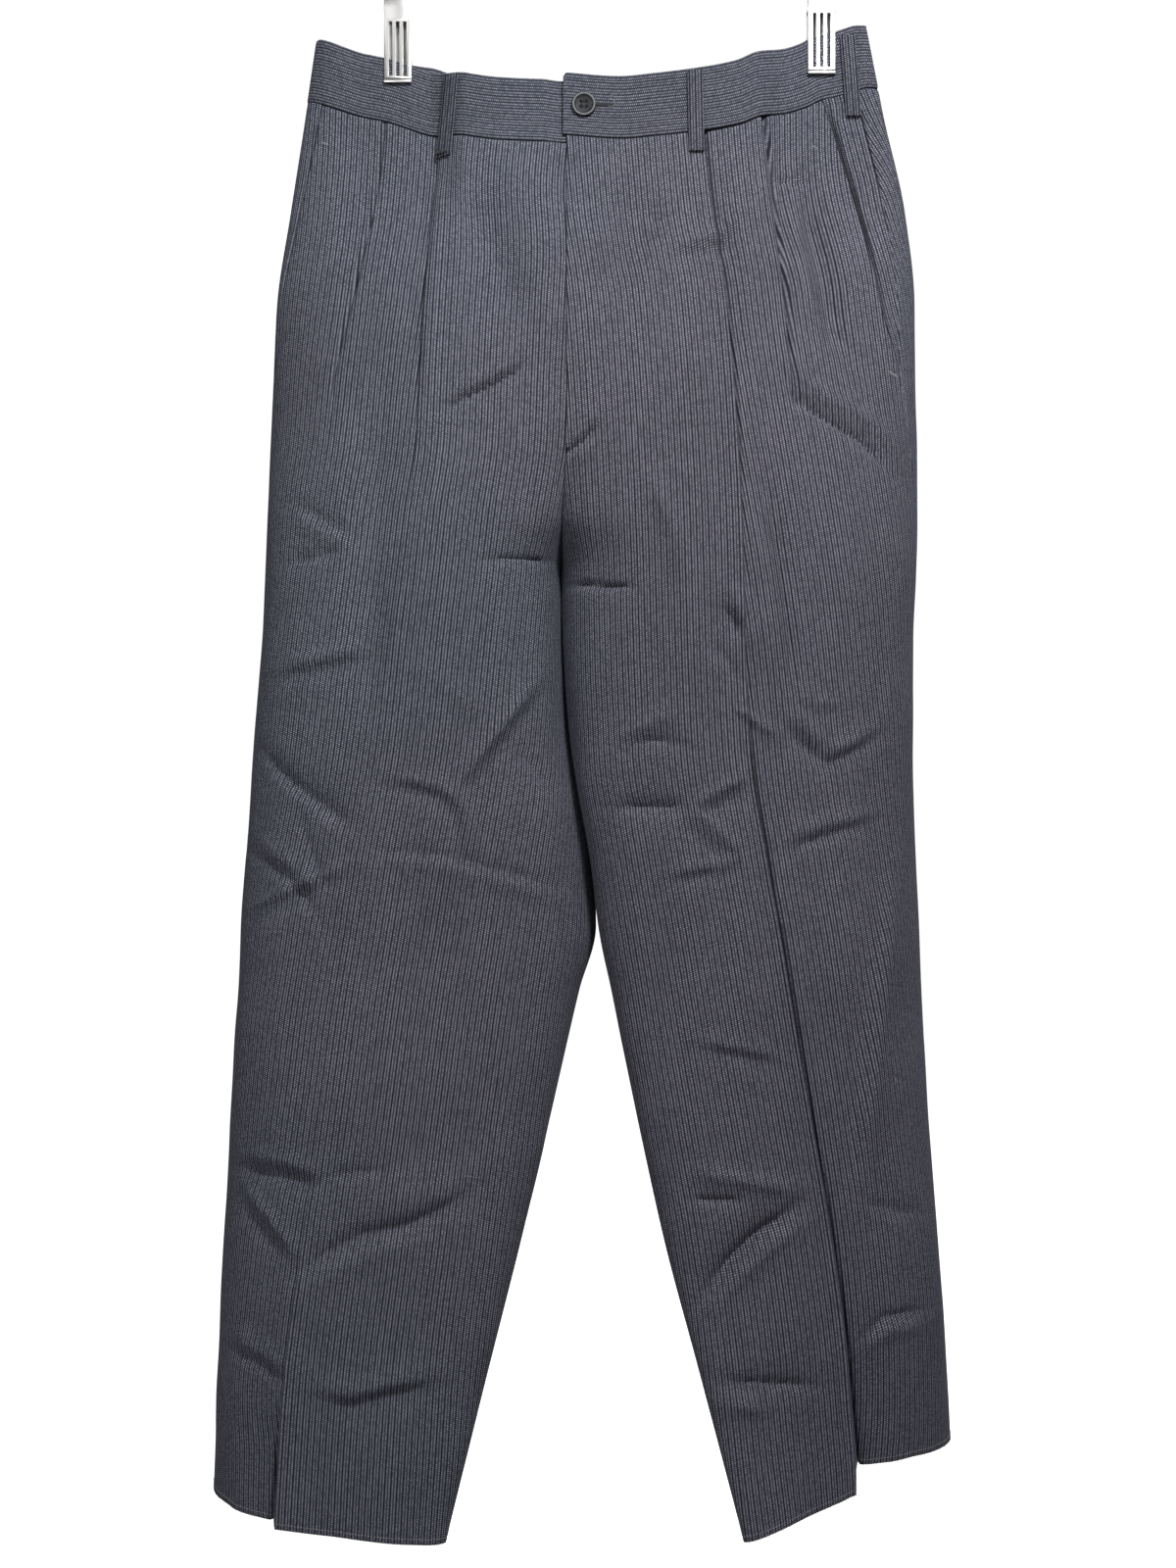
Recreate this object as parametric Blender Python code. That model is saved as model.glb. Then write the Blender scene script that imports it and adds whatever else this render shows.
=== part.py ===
"""Pleated dress trousers clipped by the waistband to a trouser hanger.

World frame: the origin is the inner top of the hanger's hook, +X runs to the wearer's left,
-Y is the front of the trousers and +Z is up.  Sizes below are in millimetres.
Heights on the cloth are drops: distances below the level of the front waist seam.
"""

import math

import bmesh
import bpy
import numpy as np
from mathutils import Matrix, Vector

MM = 0.001

# ---------------------------------------------------------------- driving dimensions
WAIST_LEVEL = -180.0        # height of the front waist seam under the hook
CLOTH = 1.5                 # wall of a single cloth panel
BAND_WALL = 2.4             # wall of the waistband
BAND_HEIGHT = 41.5
BAND_PROUD = 0.2            # how far the band stands out from the panels under it
SEAM_GAP = 0.3
ROUNDNESS = 2.5             # exponent of the corner between a panel's face and its side

FLY_DEPTH = 205.0
FLY_UNDERLAP = 10.0         # the right front passes this far under the left
FLY_RECESS = 2.3
BAND_UNDERLAP = 30.0
BAND_RECESS = 3.0
BAND_OVERHANG = 2.6         # the left band's end passes the fly's edge
CROTCH_DROP = 290.0

PLEAT_INTAKE_2 = 2.4        # depth of the second pleat's step
PLEAT_END_2 = 175.0
PLEAT_RETURN = 22.0         # width over which a pleat's step fades outwards

POCKET_UNDER = 10.0         # the facing passes this far under the mouth
POCKET_STEP = 1.8           # the facing lies this far under the front's face
POCKET_WALL = 1.2
POCKET_END = 172.0          # drop down to which the facing reaches
POCKET_GAPE = {"right": 0.9, "left": 2.6}
FACING_STEPS = 5

CLIP_X = 140.0
CLIP_WIDTH = 18.0
CLIP_PINCH = 3.4            # half the depth of the cloth between a clip's jaws
PINCH_FLAT = 20.0
PINCH_FADE = 27.0
PINCH_TOP = -25.0
PINCH_END = 110.0

LOOP_WIDTH = 10.0
LOOP_WALL = 1.7
LOOP_BELOW = 15.0           # how far a loop reaches under the waist seam
LOOP_STANDOFF = 1.3
LOOP_SEAT = 0.6             # a loop's ends lie this far over the band's face

BUTTON_X = -17.0
BUTTON_DROP = -18.0
BUTTON_RADIUS = 8.0
BUTTON_WALL = 2.6
BUTTON_HOLE = 0.9
BUTTON_HOLE_OFFSET = 1.7

BAR_LEVEL = -76.0
BAR_TILT = 5.8 / 280.0
BAR_RADIUS = 3.0
BAR_HALF = 186.0
BORE_GAP = 0.3
HOOK_WIRE = 2.2
HOOK_RADIUS = 21.0          # inner radius of the hook's bend

# ---------------------------------------------------------------- sections of the legs
# One row a section.  x and y in millimetres; "front" is the crease's own depth, "inner_front"
# and "outer_front" are the depths that the face heads for on each side of the crease before it
# rounds to the side at inner_y or outer_y.  "lap" is the step behind the pleat or crease.
# "inner_span" is how far behind the front's inner edge the back's inner edge lies.
COLUMNS = ("drop", "inner_x", "crease_x", "outer_x", "front", "inner_front", "inner_y",
           "outer_front", "outer_y", "lap",
           "back_x", "back", "inner_back", "inner_span", "outer_back")

RIGHT_LEG = (
    (-75, -28.5, -112, -193, -19, -18, -18, -12, 0, 0.0, -108, 19, 20, 38, 12),
    (-20, -28.5, -112, -201, -19, -19, -19, -13, 0, 2.4, -110, 21, 22, 41, 14),
    (50, -28.5, -115, -211, -34, -34, -34, -26, -2, 2.8, -118, 38, 40, 74, 28),
    (110, -28.2, -118, -219, -50, -49, -49, -40, -4, 2.6, -122, 52, 54, 101, 40),
    (160, -28.0, -120, -221, -60, -58, -58, -48, -5, 1.8, -125, 60, 62, 116, 50),
    (210, -28.0, -122, -223, -66, -63, -62, -54, -5, 0.8, -130, 64, 66, 120, 55),
    (255, -31.0, -128, -224.5, -69, -66, -46, -58, -5, 0.4, -134, 66, 67, 92, 58),
    (290, -32.0, -132, -226, -70, -67, -2, -60, -5, 0.4, -138, 66, 66, 4, 60),
    (330, -31.0, -137, -228, -70, -67, 3, -61, -3, 0.5, -141, 66, 64, 0, 60),
    (400, -24.4, -145, -234, -70, -67, 8, -61, -1, 0.6, -148, 65, 62, 0, 59),
    (480, -11.2, -159, -239, -69, -67, 8, -60, 0, 0.8, -154, 64, 60, 0, 57),
    (518, -9.0, -165, -242, -69, -67, 2, -59, 0, 1.0, -155, 63, 58, 0, 56),
    (560, -19.8, -172, -244, -69, -68, -12, -58, 0, 1.2, -156, 62, 56, 0, 55),
    (640, -38.5, -183, -249, -70, -70, -28, -56, 0, 2.0, -156, 60, 52, 0, 52),
    (720, -57.5, -194, -253, -71, -73, -37, -53, 0, 3.5, -156, 56, 45, 0, 47),
    (800, -78.0, -204, -257, -73, -75, -46, -50, 0, 6.0, -157, 50, 36, 0, 40),
    (920, -108.0, -211, -262, -76, -80, -58, -38, 0, 12.0, -158, 42, 20, 0, 28),
)

LEFT_LEG = (
    (-75, -28.0, 58, 170, -18, -18, -18, -11, 0, 0.0, 60, 19, 20, 38, 11),
    (-20, -28.0, 60, 181, -18, -19, -19, -12, 0, 2.4, 62, 21, 22, 41, 13),
    (50, -28.0, 65, 195.5, -33, -34, -34, -25, -2, 2.8, 72, 38, 40, 74, 27),
    (110, -27.7, 73, 201, -49, -49, -49, -38, -4, 2.6, 80, 52, 54, 101, 38),
    (160, -27.5, 77, 201, -59, -58, -58, -46, -5, 1.8, 84, 60, 62, 116, 48),
    (210, -27.5, 80, 202, -65, -63, -62, -52, -5, 1.0, 86, 64, 66, 120, 54),
    (255, -30.7, 82, 202, -68, -66, -46, -56, -5, 0.8, 88, 66, 67, 92, 57),
    (290, -31.7, 83, 201, -69, -67, -2, -58, -5, 0.8, 89, 66, 66, 4, 58),
    (330, -30.2, 84, 199.5, -69, -68, -9, -58, -3, 1.0, 90, 66, 64, 0, 58),
    (400, -25.2, 87, 199.5, -68, -68, -20, -57, 0, 1.6, 90, 65, 62, 0, 57),
    (480, -12.2, 99, 202, -67, -69, -27, -54, 2, 2.6, 90, 64, 58, 0, 56),
    (518, -7.6, 106, 204, -66, -70, -29, -52, 3, 3.0, 90, 63, 56, 0, 56),
    (560, 1.0, 113, 206, -65, -70, -30, -50, 5, 3.4, 91, 61, 52, 0, 55),
    (640, 17.3, 127, 211, -61, -72, -35, -44, 9, 4.6, 92, 58, 46, 0, 54),
    (720, 35.0, 141, 218, -56, -74, -43, -36, 14, 7.0, 95, 54, 37, 0, 51),
    (800, 56.6, 151, 225, -50, -76, -52, -26, 20, 11.0, 100, 50, 26, 0, 46),
    (920, 88.5, 160, 233, -39, -82, -66, -8, 29, 26.0, 104, 42, 6, 0, 40),
)

# Lines on the outer half of each front, as shares of the way from crease to side seen from ahead.
LANES = ("drop", "pleat", "mouth", "seam")
RIGHT_LANES = (
    (-30, 0.40, 0.86, 0.995),
    (40, 0.40, 0.89, 0.995),
    (95, 0.43, 0.93, 0.995),
    (143, 0.51, 0.96, 0.995),
    (172, 0.55, 0.985, 0.995),
    (330, 0.55, 1.0, 0.995),
)
LEFT_LANES = (
    (-30, 0.33, 0.63, 0.87),
    (28, 0.33, 0.71, 0.875),
    (68, 0.32, 0.745, 0.88),
    (107, 0.30, 0.785, 0.885),
    (155, 0.30, 0.868, 0.895),
    (200, 0.32, 0.95, 0.93),
    (270, 0.34, 1.0, 0.995),
)

# Drop of the waist seam along each half, from the front middle round to the back middle.
RIGHT_WAIST = ((-201, -25), (-182, -19), (-150, -13), (-114, -2), (-70, 5), (-28, 6.5))
LEFT_WAIST = ((-31, 1.5), (7, 4), (29, 2), (61, -2), (86, -7), (101, -13), (135, -23),
              (144, -27), (158, -30), (176, -35))
RIGHT_BACK_WAIST = ((-201, -25), (-182, -20), (-140, -11), (-90, -6), (-28, -5))
LEFT_BACK_WAIST = ((-28, -5), (60, -10), (101, -17), (140, -25), (158, -30), (176, -35))

# Drop of the cut hem at the inner side, both sides of the crease, and the outer side.
RIGHT_HEM = {"inner": 904.0, "crease": 890.0, "behind": 888.0, "outer": 885.0, "back": 896.0}
LEFT_HEM = {"inner": 901.0, "crease": 881.0, "behind": 867.0, "outer": 863.0, "back": 880.0}

# The largest folds: width and depth of each soft trough (a ridge has a negative depth), and
# the line that it follows as x, drop.
FRONT_FOLDS = (
    ("right pleat hollow", 13, 4.0, ((-94, 30), (-81, 62), (-66, 106), (-54, 132))),
    ("right thigh hollow", 13, 3.5, ((-148, 160), (-150, 270), (-151, 375))),
    ("right thigh ridge", 11, -3.5, ((-90, 228), (-112, 262), (-125, 300), (-134, 365))),
    ("right knee hollow", 10, 3.5, ((-225, 405), (-205, 425), (-158, 455))),
    ("right inseam ridge", 10, -3.5, ((-45, 358), (-63, 385), (-98, 428))),
    ("right shin ridge", 10, -3.0, ((-98, 465), (-112, 490), (-122, 524))),
    ("right calf hollow", 10, 4.0, ((-238, 668), (-210, 672), (-180, 680))),
    ("right calf bend", 11, 4.0, ((-198, 735), (-158, 712), (-122, 705), (-100, 692), (-78, 676))),
    ("right hem hollow", 10, 3.0, ((-186, 815), (-161, 819), (-137, 813), (-107, 807))),
    ("left pocket hollow", 11, 5.5, ((123, 24), (128, 62), (136, 101), (142, 135), (152, 160))),
    ("left pocket crease", 9, 4.5, ((106, 158), (118, 183), (137, 196), (159, 210), (183, 236))),
    ("left fly hollow", 13, 3.5, ((26, 57), (10, 81), (-5, 108))),
    ("left thigh ridge", 11, -3.0, ((20, 222), (42, 268), (45, 302))),
    ("left thigh crumple", 9, 3.5, ((68, 312), (80, 335), (85, 364))),
    ("left thigh line", 9, 3.5, ((100, 240), (107, 277), (112, 314), (117, 378))),
    ("left knee hollow", 9, 4.0, ((110, 388), (137, 413))),
    ("left knee bend", 9, 3.0, ((-2, 441), (50, 439))),
    ("left shin ridge", 13, -4.0, ((180, 475), (174, 525), (168, 580), (162, 640), (158, 690))),
    ("left calf bend", 11, 5.0, ((122, 690), (91, 711), (72, 728), (54, 753))),
    ("left hem hollow", 10, 3.0, ((66, 803), (134, 806))),
)
BACK_FOLDS = (
    ("right seat hollow", 14, 4.5, ((-60, 150), (-100, 215), (-160, 262))),
    ("right seat smile", 12, 4.0, ((-40, 250), (-85, 288), (-150, 300), (-210, 282))),
    ("right knee bend", 12, 4.0, ((-215, 452), (-160, 474), (-90, 462))),
    ("right knee ridge", 11, -3.0, ((-205, 500), (-150, 522), (-100, 510))),
    ("right calf bend", 11, 3.5, ((-225, 700), (-170, 722), (-100, 704))),
    ("left seat hollow", 14, 4.5, ((0, 155), (48, 210), (110, 258))),
    ("left seat smile", 12, 4.0, ((-22, 258), (30, 292), (95, 306), (175, 280))),
    ("left knee bend", 12, 4.0, ((30, 470), (95, 486), (175, 458))),
    ("left knee ridge", 11, -3.0, ((45, 520), (105, 532), (165, 512))),
    ("left calf bend", 11, 3.5, ((75, 718), (130, 736), (195, 708))),
)
FOLD_FADE_TOP = (8.0, 45.0)

# Rows of a panel: drops that every column passes, before the waist and hem lines bend them.
PANEL_ROWS = (0, 14, 34, 56, 80, 104, 128, 150, 172, 192, 208, 222, 236, 249, 260, 269, 277, 284,
              290, 297, 306, 320, 340, 362, 386, 410, 434, 458, 482, 506, 530, 556, 582, 610, 638,
              666, 694, 722, 750, 778, 806, 834, 862, 890)
INNER_STEPS = 7             # columns of a panel on each stretch
LAST_RUN = 0.975            # where along the inner half its last column but one lies
OUTER_STEPS = 5
BACK_OUTER_STEPS = 7
BACK_INNER_STEPS = 5
INSEAM_TURN = 0.0003        # keeps the edges of an inseam apart
BACK_START = 0.0001         # the least turn past the side that counts as the back
MEAN_WIDTH = 110.0          # usual width of half a section, which makes a turn of a seam's gap
CREASE_TURN = 0.002         # turn at which the column behind the front crease lies
PLEAT_TURN = 0.006          # turn on each side of the second pleat's line to its columns
CREASE_REACH = 0.35         # sideways step of the column behind the crease
STEP_LEAN = 0.25            # sideways lean of a step for each millimetre of its depth
STEP_OUTWARD = 0.8          # how far a deep step turns its two columns outwards
WAIST_BLEND = 130.0         # the waist line's slant fades out over this drop
HEM_BLEND = 690.0           # the hem line's slant fades in from this drop
HEM_LEVEL = 890.0

CLOTH_COLOUR = (0.080, 0.080, 0.105, 1.0)
BUTTON_COLOUR = (0.030, 0.032, 0.036, 1.0)
STEEL_COLOUR = (0.72, 0.72, 0.73, 1.0)


# ---------------------------------------------------------------- curves through tables
def smoothstep(low, high, value):
    t = np.clip((np.asarray(value, float) - low) / (high - low), 0.0, 1.0)
    return t * t * (3.0 - 2.0 * t)


class Curve:
    """A smooth curve through a table's points that never overshoots them."""

    def __init__(self, xs, ys):
        self.x = np.array(xs, float)
        self.y = np.array(ys, float)
        step = np.diff(self.x)
        secant = np.diff(self.y) / step
        self.slope = np.zeros(len(self.x))
        before, after = secant[:-1], secant[1:]
        same = before * after > 0.0
        total = np.where(same, before + after, 1.0)
        self.slope[1:-1] = np.where(same, 2.0 * before * after / total, 0.0)
        self.slope[0], self.slope[-1] = secant[0], secant[-1]

    def __call__(self, value):
        value = np.clip(np.asarray(value, float), self.x[0], self.x[-1])
        i = np.clip(np.searchsorted(self.x, value) - 1, 0, len(self.x) - 2)
        step = self.x[i + 1] - self.x[i]
        t = (value - self.x[i]) / step
        rise = t * t * (3.0 - 2.0 * t)
        lead = t * (1.0 - t) ** 2 * step * self.slope[i]
        tail = t * t * (t - 1.0) * step * self.slope[i + 1]
        return self.y[i] + (self.y[i + 1] - self.y[i]) * rise + lead + tail


def curves(names, rows):
    """A curve over the first column for each other named column."""
    table = np.array(rows, float)
    return {name: Curve(table[:, 0], table[:, i]) for i, name in enumerate(names) if i}


def line_curve(points):
    return Curve([p[0] for p in points], [p[1] for p in points])


# ---------------------------------------------------------------- the form of the cloth
class Leg:
    """One half of the trousers: its sections, lines and edges.  sign is -1 on the right."""

    def __init__(self, name, sign, rows, lanes, waist, back_waist, hem):
        self.name = name
        self.sign = sign
        self.at = curves(COLUMNS, rows)
        self.lane = curves(LANES, lanes)
        self.front_waist = line_curve(waist)
        self.back_waist = line_curve(back_waist)
        self.hem = hem

    def overlap(self, run, drop, band):
        """How far the inner edge passes the middle.  The right front passes under the left along
        the fly, and the right end of the waistband under the left one's end."""
        if band:
            reach = BAND_UNDERLAP if self.sign < 0 else -BAND_OVERHANG
        else:
            closed = smoothstep(FLY_DEPTH - 15.0, FLY_DEPTH + 20.0, drop)
            reach = FLY_UNDERLAP * (1.0 - closed) if self.sign < 0 else 0.0
        return reach * np.clip((run - LAST_RUN) / (1.0 - LAST_RUN), 0.0, 1.0)

    def face(self, inward, turn, drop, band=False):
        """A point of the section: inward picks the inner half, and turn runs from 0 at the
        front crease over 1 at the side to 2 at the back crease."""
        turn = np.asarray(turn, float)
        drop = np.asarray(drop, float)
        at = {name: curve(drop) for name, curve in self.at.items()}
        front = turn <= 1.0
        angle = np.where(front, turn, 2.0 - turn) * math.pi / 2.0
        run = np.clip(np.sin(angle), 0.0, 1.0)
        mid_x = np.where(front, at["crease_x"], at["back_x"])
        mid_y = np.where(front, at["front"], at["back"])
        if inward:
            side_x = at["inner_x"]
            side_y = at["inner_y"] + np.where(front, 0.0, at["inner_span"])
            shoulder = np.where(front, at["inner_front"], at["inner_back"])
            lap = np.zeros_like(run)
            past = np.where(front, self.overlap(run, drop, band), 0.0)
        else:
            side_x = at["outer_x"]
            side_y = at["outer_y"]
            shoulder = np.where(front, at["outer_front"], at["outer_back"])
            lap = np.where(front & (not band), self.lap(run, drop, at), 0.0)
            past = np.zeros_like(run)
        corner = 1.0 - (1.0 - run ** ROUNDNESS) ** (1.0 / ROUNDNESS)
        x = mid_x + (side_x - mid_x) * run + past
        y = mid_y + lap + (shoulder - mid_y) * run + (side_y - shoulder) * corner
        if self.sign < 0 and inward:
            y = y + np.where(front, self.recess(x, drop, band), 0.0)
        return self.pinch(x, y, drop, front)

    def lap(self, run, drop, at):
        """How far the outer half steps in behind the first pleat or crease, and the second."""
        first = at["lap"] * (1.0 - run) ** 3
        past = (run - self.lane["pleat"](drop)) * np.abs(at["outer_x"] - at["crease_x"])
        depth = PLEAT_INTAKE_2 * (1.0 - smoothstep(70.0, PLEAT_END_2, drop))
        return first + np.where(past > 0.0, depth * np.exp(-np.abs(past) / PLEAT_RETURN), 0.0)

    def recess(self, x, drop, band):
        """How far the right side steps in to pass under the left at the fly."""
        if band:
            return BAND_RECESS * smoothstep(-45.0, -32.5, x)
        return FLY_RECESS * smoothstep(-42.0, -30.5, x) * (1.0 - smoothstep(224.0, 250.0, drop))

    def pinch(self, x, y, drop, front):
        """Draw the front and back together between the jaws of a clip."""
        near = 1.0 - smoothstep(PINCH_FLAT, PINCH_FLAT + PINCH_FADE, np.abs(np.abs(x) - CLIP_X))
        near = near * (1.0 - smoothstep(PINCH_TOP, PINCH_END, drop))
        level = np.where(front, -CLIP_PINCH, CLIP_PINCH)
        return x, y * (1.0 - near) + level * near

    def point(self, inward, turn, drop, band=False):
        x, y = self.face(inward, turn, drop, band)
        return np.stack([x, y, WAIST_LEVEL - drop + 0.0 * x], axis=-1)

    def normal(self, inward, turn, drop, low=None, high=None, band=False):
        """The outward normal; low and high keep the measured stretch on one face."""
        reach = 0.02
        first = np.asarray(turn, float) - reach
        last = np.asarray(turn, float) + reach
        first = first if low is None else np.maximum(first, low)
        last = last if high is None else np.minimum(last, high)
        step = 2.0
        round_it = self.point(inward, last, drop, band) - self.point(inward, first, drop, band)
        down = (self.point(inward, turn, drop + step, band)
                - self.point(inward, turn, drop - step, band))
        out = np.cross(round_it, down)
        out = out * (self.sign if inward else -self.sign)
        return out / np.linalg.norm(out, axis=-1, keepdims=True)

    def waist(self, inward, turn):
        """Drop of the waist seam at a turn of the section."""
        x = self.face(inward, turn, 0.0, True)[0]
        return float(self.front_waist(x) if turn <= 1.0 else self.back_waist(x))


RIGHT = Leg("right", -1, RIGHT_LEG, RIGHT_LANES, RIGHT_WAIST, RIGHT_BACK_WAIST, RIGHT_HEM)
LEFT = Leg("left", 1, LEFT_LEG, LEFT_LANES, LEFT_WAIST, LEFT_BACK_WAIST, LEFT_HEM)


def line_distance(points, x, drop):
    """Distance from each place to a line of points, and how far along the line it lies."""
    line = np.array(points, float)
    lengths = np.linalg.norm(np.diff(line, axis=0), axis=1)
    begins = np.concatenate([[0.0], np.cumsum(lengths)])
    nearest = np.full(np.shape(x), 1e9)
    along = np.zeros(np.shape(x))
    for start, end, length, begin in zip(line[:-1], line[1:], lengths, begins):
        step = (end - start) / length
        t = np.clip((x - start[0]) * step[0] + (drop - start[1]) * step[1], 0.0, length)
        gap = np.hypot(x - start[0] - t * step[0], drop - start[1] - t * step[1])
        closer = gap < nearest
        nearest = np.where(closer, gap, nearest)
        along = np.where(closer, (begin + t) / begins[-1], along)
    return nearest, along


def fold_depth(folds, x, drop):
    """How far the folds push the cloth in at each place."""
    depth = np.zeros(np.shape(x))
    for _, width, amount, points in folds:
        gap, along = line_distance(points, x, drop)
        taper = smoothstep(0.0, 0.3, along) * (1.0 - smoothstep(0.7, 1.0, along))
        depth = depth + amount * (0.25 + 0.75 * taper) * np.exp(-(gap / width) ** 2)
    return depth * smoothstep(*FOLD_FADE_TOP, drop)


# ---------------------------------------------------------------- meshes
def material(name, colour, roughness, metallic=0.0):
    """The part's own material."""
    made = bpy.data.materials.new(name)
    made.use_nodes = True
    shader = made.node_tree.nodes["Principled BSDF"]
    shader.inputs["Base Color"].default_value = colour
    shader.inputs["Roughness"].default_value = roughness
    shader.inputs["Metallic"].default_value = metallic
    made.diffuse_color = colour
    return made


def object_from(name, mesh_data, finish):
    """Put a bmesh, in millimetres, into the scene as one object in metres."""
    bmesh.ops.scale(mesh_data, vec=(MM, MM, MM), verts=mesh_data.verts)
    bmesh.ops.recalc_face_normals(mesh_data, faces=mesh_data.faces)
    mesh = bpy.data.meshes.new(name)
    mesh_data.to_mesh(mesh)
    mesh_data.free()
    colour, roughness, metallic = finish
    mesh.materials.append(material(name, colour, roughness, metallic))
    made = bpy.data.objects.new(name, mesh)
    bpy.context.collection.objects.link(made)
    return made


def closed_wall(name, outside, inside, finish):
    """Close two grids of points, one over the other, into a wall."""
    rows, columns = outside.shape[:2]
    mesh_data = bmesh.new()
    sheets = []
    for grid in (outside, inside):
        sheets.append([[mesh_data.verts.new(grid[r, c]) for c in range(columns)]
                       for r in range(rows)])
    for sheet in sheets:
        for r in range(rows - 1):
            for c in range(columns - 1):
                mesh_data.faces.new((sheet[r][c], sheet[r][c + 1],
                                     sheet[r + 1][c + 1], sheet[r + 1][c]))
    rim = [(0, c) for c in range(columns)]
    rim += [(r, columns - 1) for r in range(1, rows)]
    rim += [(rows - 1, c) for c in range(columns - 2, -1, -1)]
    rim += [(r, 0) for r in range(rows - 2, 0, -1)]
    over, under = sheets
    for (r, c), (next_r, next_c) in zip(rim, rim[1:] + rim[:1]):
        mesh_data.faces.new((over[r][c], over[next_r][next_c],
                             under[next_r][next_c], under[r][c]))
    bmesh.ops.triangulate(mesh_data, faces=mesh_data.faces)
    return object_from(name, mesh_data, finish)


CLOTH_FINISH = (CLOTH_COLOUR, 0.85, 0.0)
BUTTON_FINISH = (BUTTON_COLOUR, 0.35, 0.0)
STEEL_FINISH = (STEEL_COLOUR, 0.18, 1.0)


# ---------------------------------------------------------------- panels
def turn_at(share):
    """The turn at which a point lies this share of the way from crease to side."""
    return np.arcsin(np.clip(share, 0.0, 1.0)) * 2.0 / math.pi


def bend_rows(leg, nominal, turn_top, inward, hem):
    """The drop of each row of one column, bent to the waist line and the hem line."""
    top = leg.waist(inward, turn_top) + SEAM_GAP
    lift = top * (1.0 - smoothstep(0.0, WAIST_BLEND, nominal))
    fall = (hem - HEM_LEVEL) * smoothstep(HEM_BLEND, HEM_LEVEL, nominal)
    return nominal + lift + fall


def column(leg, inward, turns, nominal, hem, low, high, edge=None):
    """One column of a panel: its points and its outward normals, from waist to hem."""
    drop = bend_rows(leg, nominal, turns[0], inward, hem)
    points = leg.point(inward, turns, drop)
    normals = leg.normal(inward, turns, drop, low, high)
    if edge == "middle":
        joined = (drop < CROTCH_DROP)[:, None]
        flat = np.where(joined, normals * (0.0, 1.0, 1.0), normals * (1.0, 0.0, 1.0))
        normals = flat / np.linalg.norm(flat, axis=-1, keepdims=True)
    return drop, points, normals


def pair_at_step(leg, first, second, reach):
    """Give the two columns of a step one direction, turned outwards where the step is deep."""
    depth = np.clip((second[1][:, 1] - first[1][:, 1]) / 3.0, 0.0, 1.0)
    out = first[2] + second[2]
    out[:, 0] += STEP_OUTWARD * leg.sign * depth
    out /= np.linalg.norm(out, axis=-1, keepdims=True)
    fall = np.clip(second[1][:, 1] - first[1][:, 1], 0.0, 30.0)
    second[1][:, 0] += leg.sign * (reach + STEP_LEAN * fall)
    return (first[0], first[1], out), (second[0], second[1], out)


def front_panel(leg):
    """A front: crease to inner edge, crease to second pleat, and on to pocket and side seam."""
    nominal = np.array(PANEL_ROWS, float)
    hem = leg.hem
    ones = np.ones_like(nominal)
    columns_made = []
    for i in range(INNER_STEPS):
        share = 1.0 - i / INNER_STEPS
        hem_here = hem["crease"] + (hem["inner"] - hem["crease"]) * math.sin(share * math.pi / 2)
        turns = share * ones
        if i == 0:
            turns = turns - seam_turn(leg, nominal)
        edge = "middle" if i == 0 else None
        columns_made.append(column(leg, True, turns, nominal, hem_here, None, 1.0, edge))
    first = column(leg, True, 0.0 * ones, nominal, hem["crease"], 0.0, None)
    second = column(leg, False, CREASE_TURN * ones, nominal, hem["behind"], 0.0, None)
    columns_made += pair_at_step(leg, first, second, CREASE_REACH)
    pleat = turn_at(leg.lane["pleat"](nominal))
    for i in (1, 2, 3):
        share = i / 4
        hem_here = hem["behind"] + (hem["outer"] - hem["behind"]) * share / 2
        columns_made.append(column(leg, False, pleat * share, nominal, hem_here, 0.0, None))
    pleat_hem = (hem["behind"] + hem["outer"]) / 2
    before = column(leg, False, pleat - PLEAT_TURN, nominal, pleat_hem, 0.0, None)
    behind = column(leg, False, pleat + PLEAT_TURN, nominal, pleat_hem, 0.0, None)
    columns_made += pair_at_step(leg, before, behind, 0.0)
    gap = SEAM_GAP / 2.0 / MEAN_WIDTH
    seam = turn_at(leg.lane["seam"](nominal)) - gap
    mouth = turn_at(leg.lane["mouth"](nominal))
    edge_turn = np.minimum(mouth, seam)
    for i in range(1, OUTER_STEPS + 1):
        share = i / OUTER_STEPS
        turns = pleat + PLEAT_TURN + (edge_turn - pleat - PLEAT_TURN) * share
        columns_made.append(column(leg, False, turns, nominal, hem["outer"], 0.0, None))
    drop = np.stack([c[0] for c in columns_made], axis=1)
    points = np.stack([c[1] for c in columns_made], axis=1)
    normals = np.stack([c[2] for c in columns_made], axis=1)
    depth = fold_depth(FRONT_FOLDS, points[..., 0], drop)
    outside = points - normals * depth[..., None]
    inside = outside - normals * CLOTH
    return closed_wall(f"front_panel_{leg.name}", outside, inside, CLOTH_FINISH)


def seam_turn(leg, nominal):
    """The share of a turn that keeps the inseam's edges apart."""
    return np.where(nominal >= CROTCH_DROP - 1.0, INSEAM_TURN, 0.0)


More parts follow.
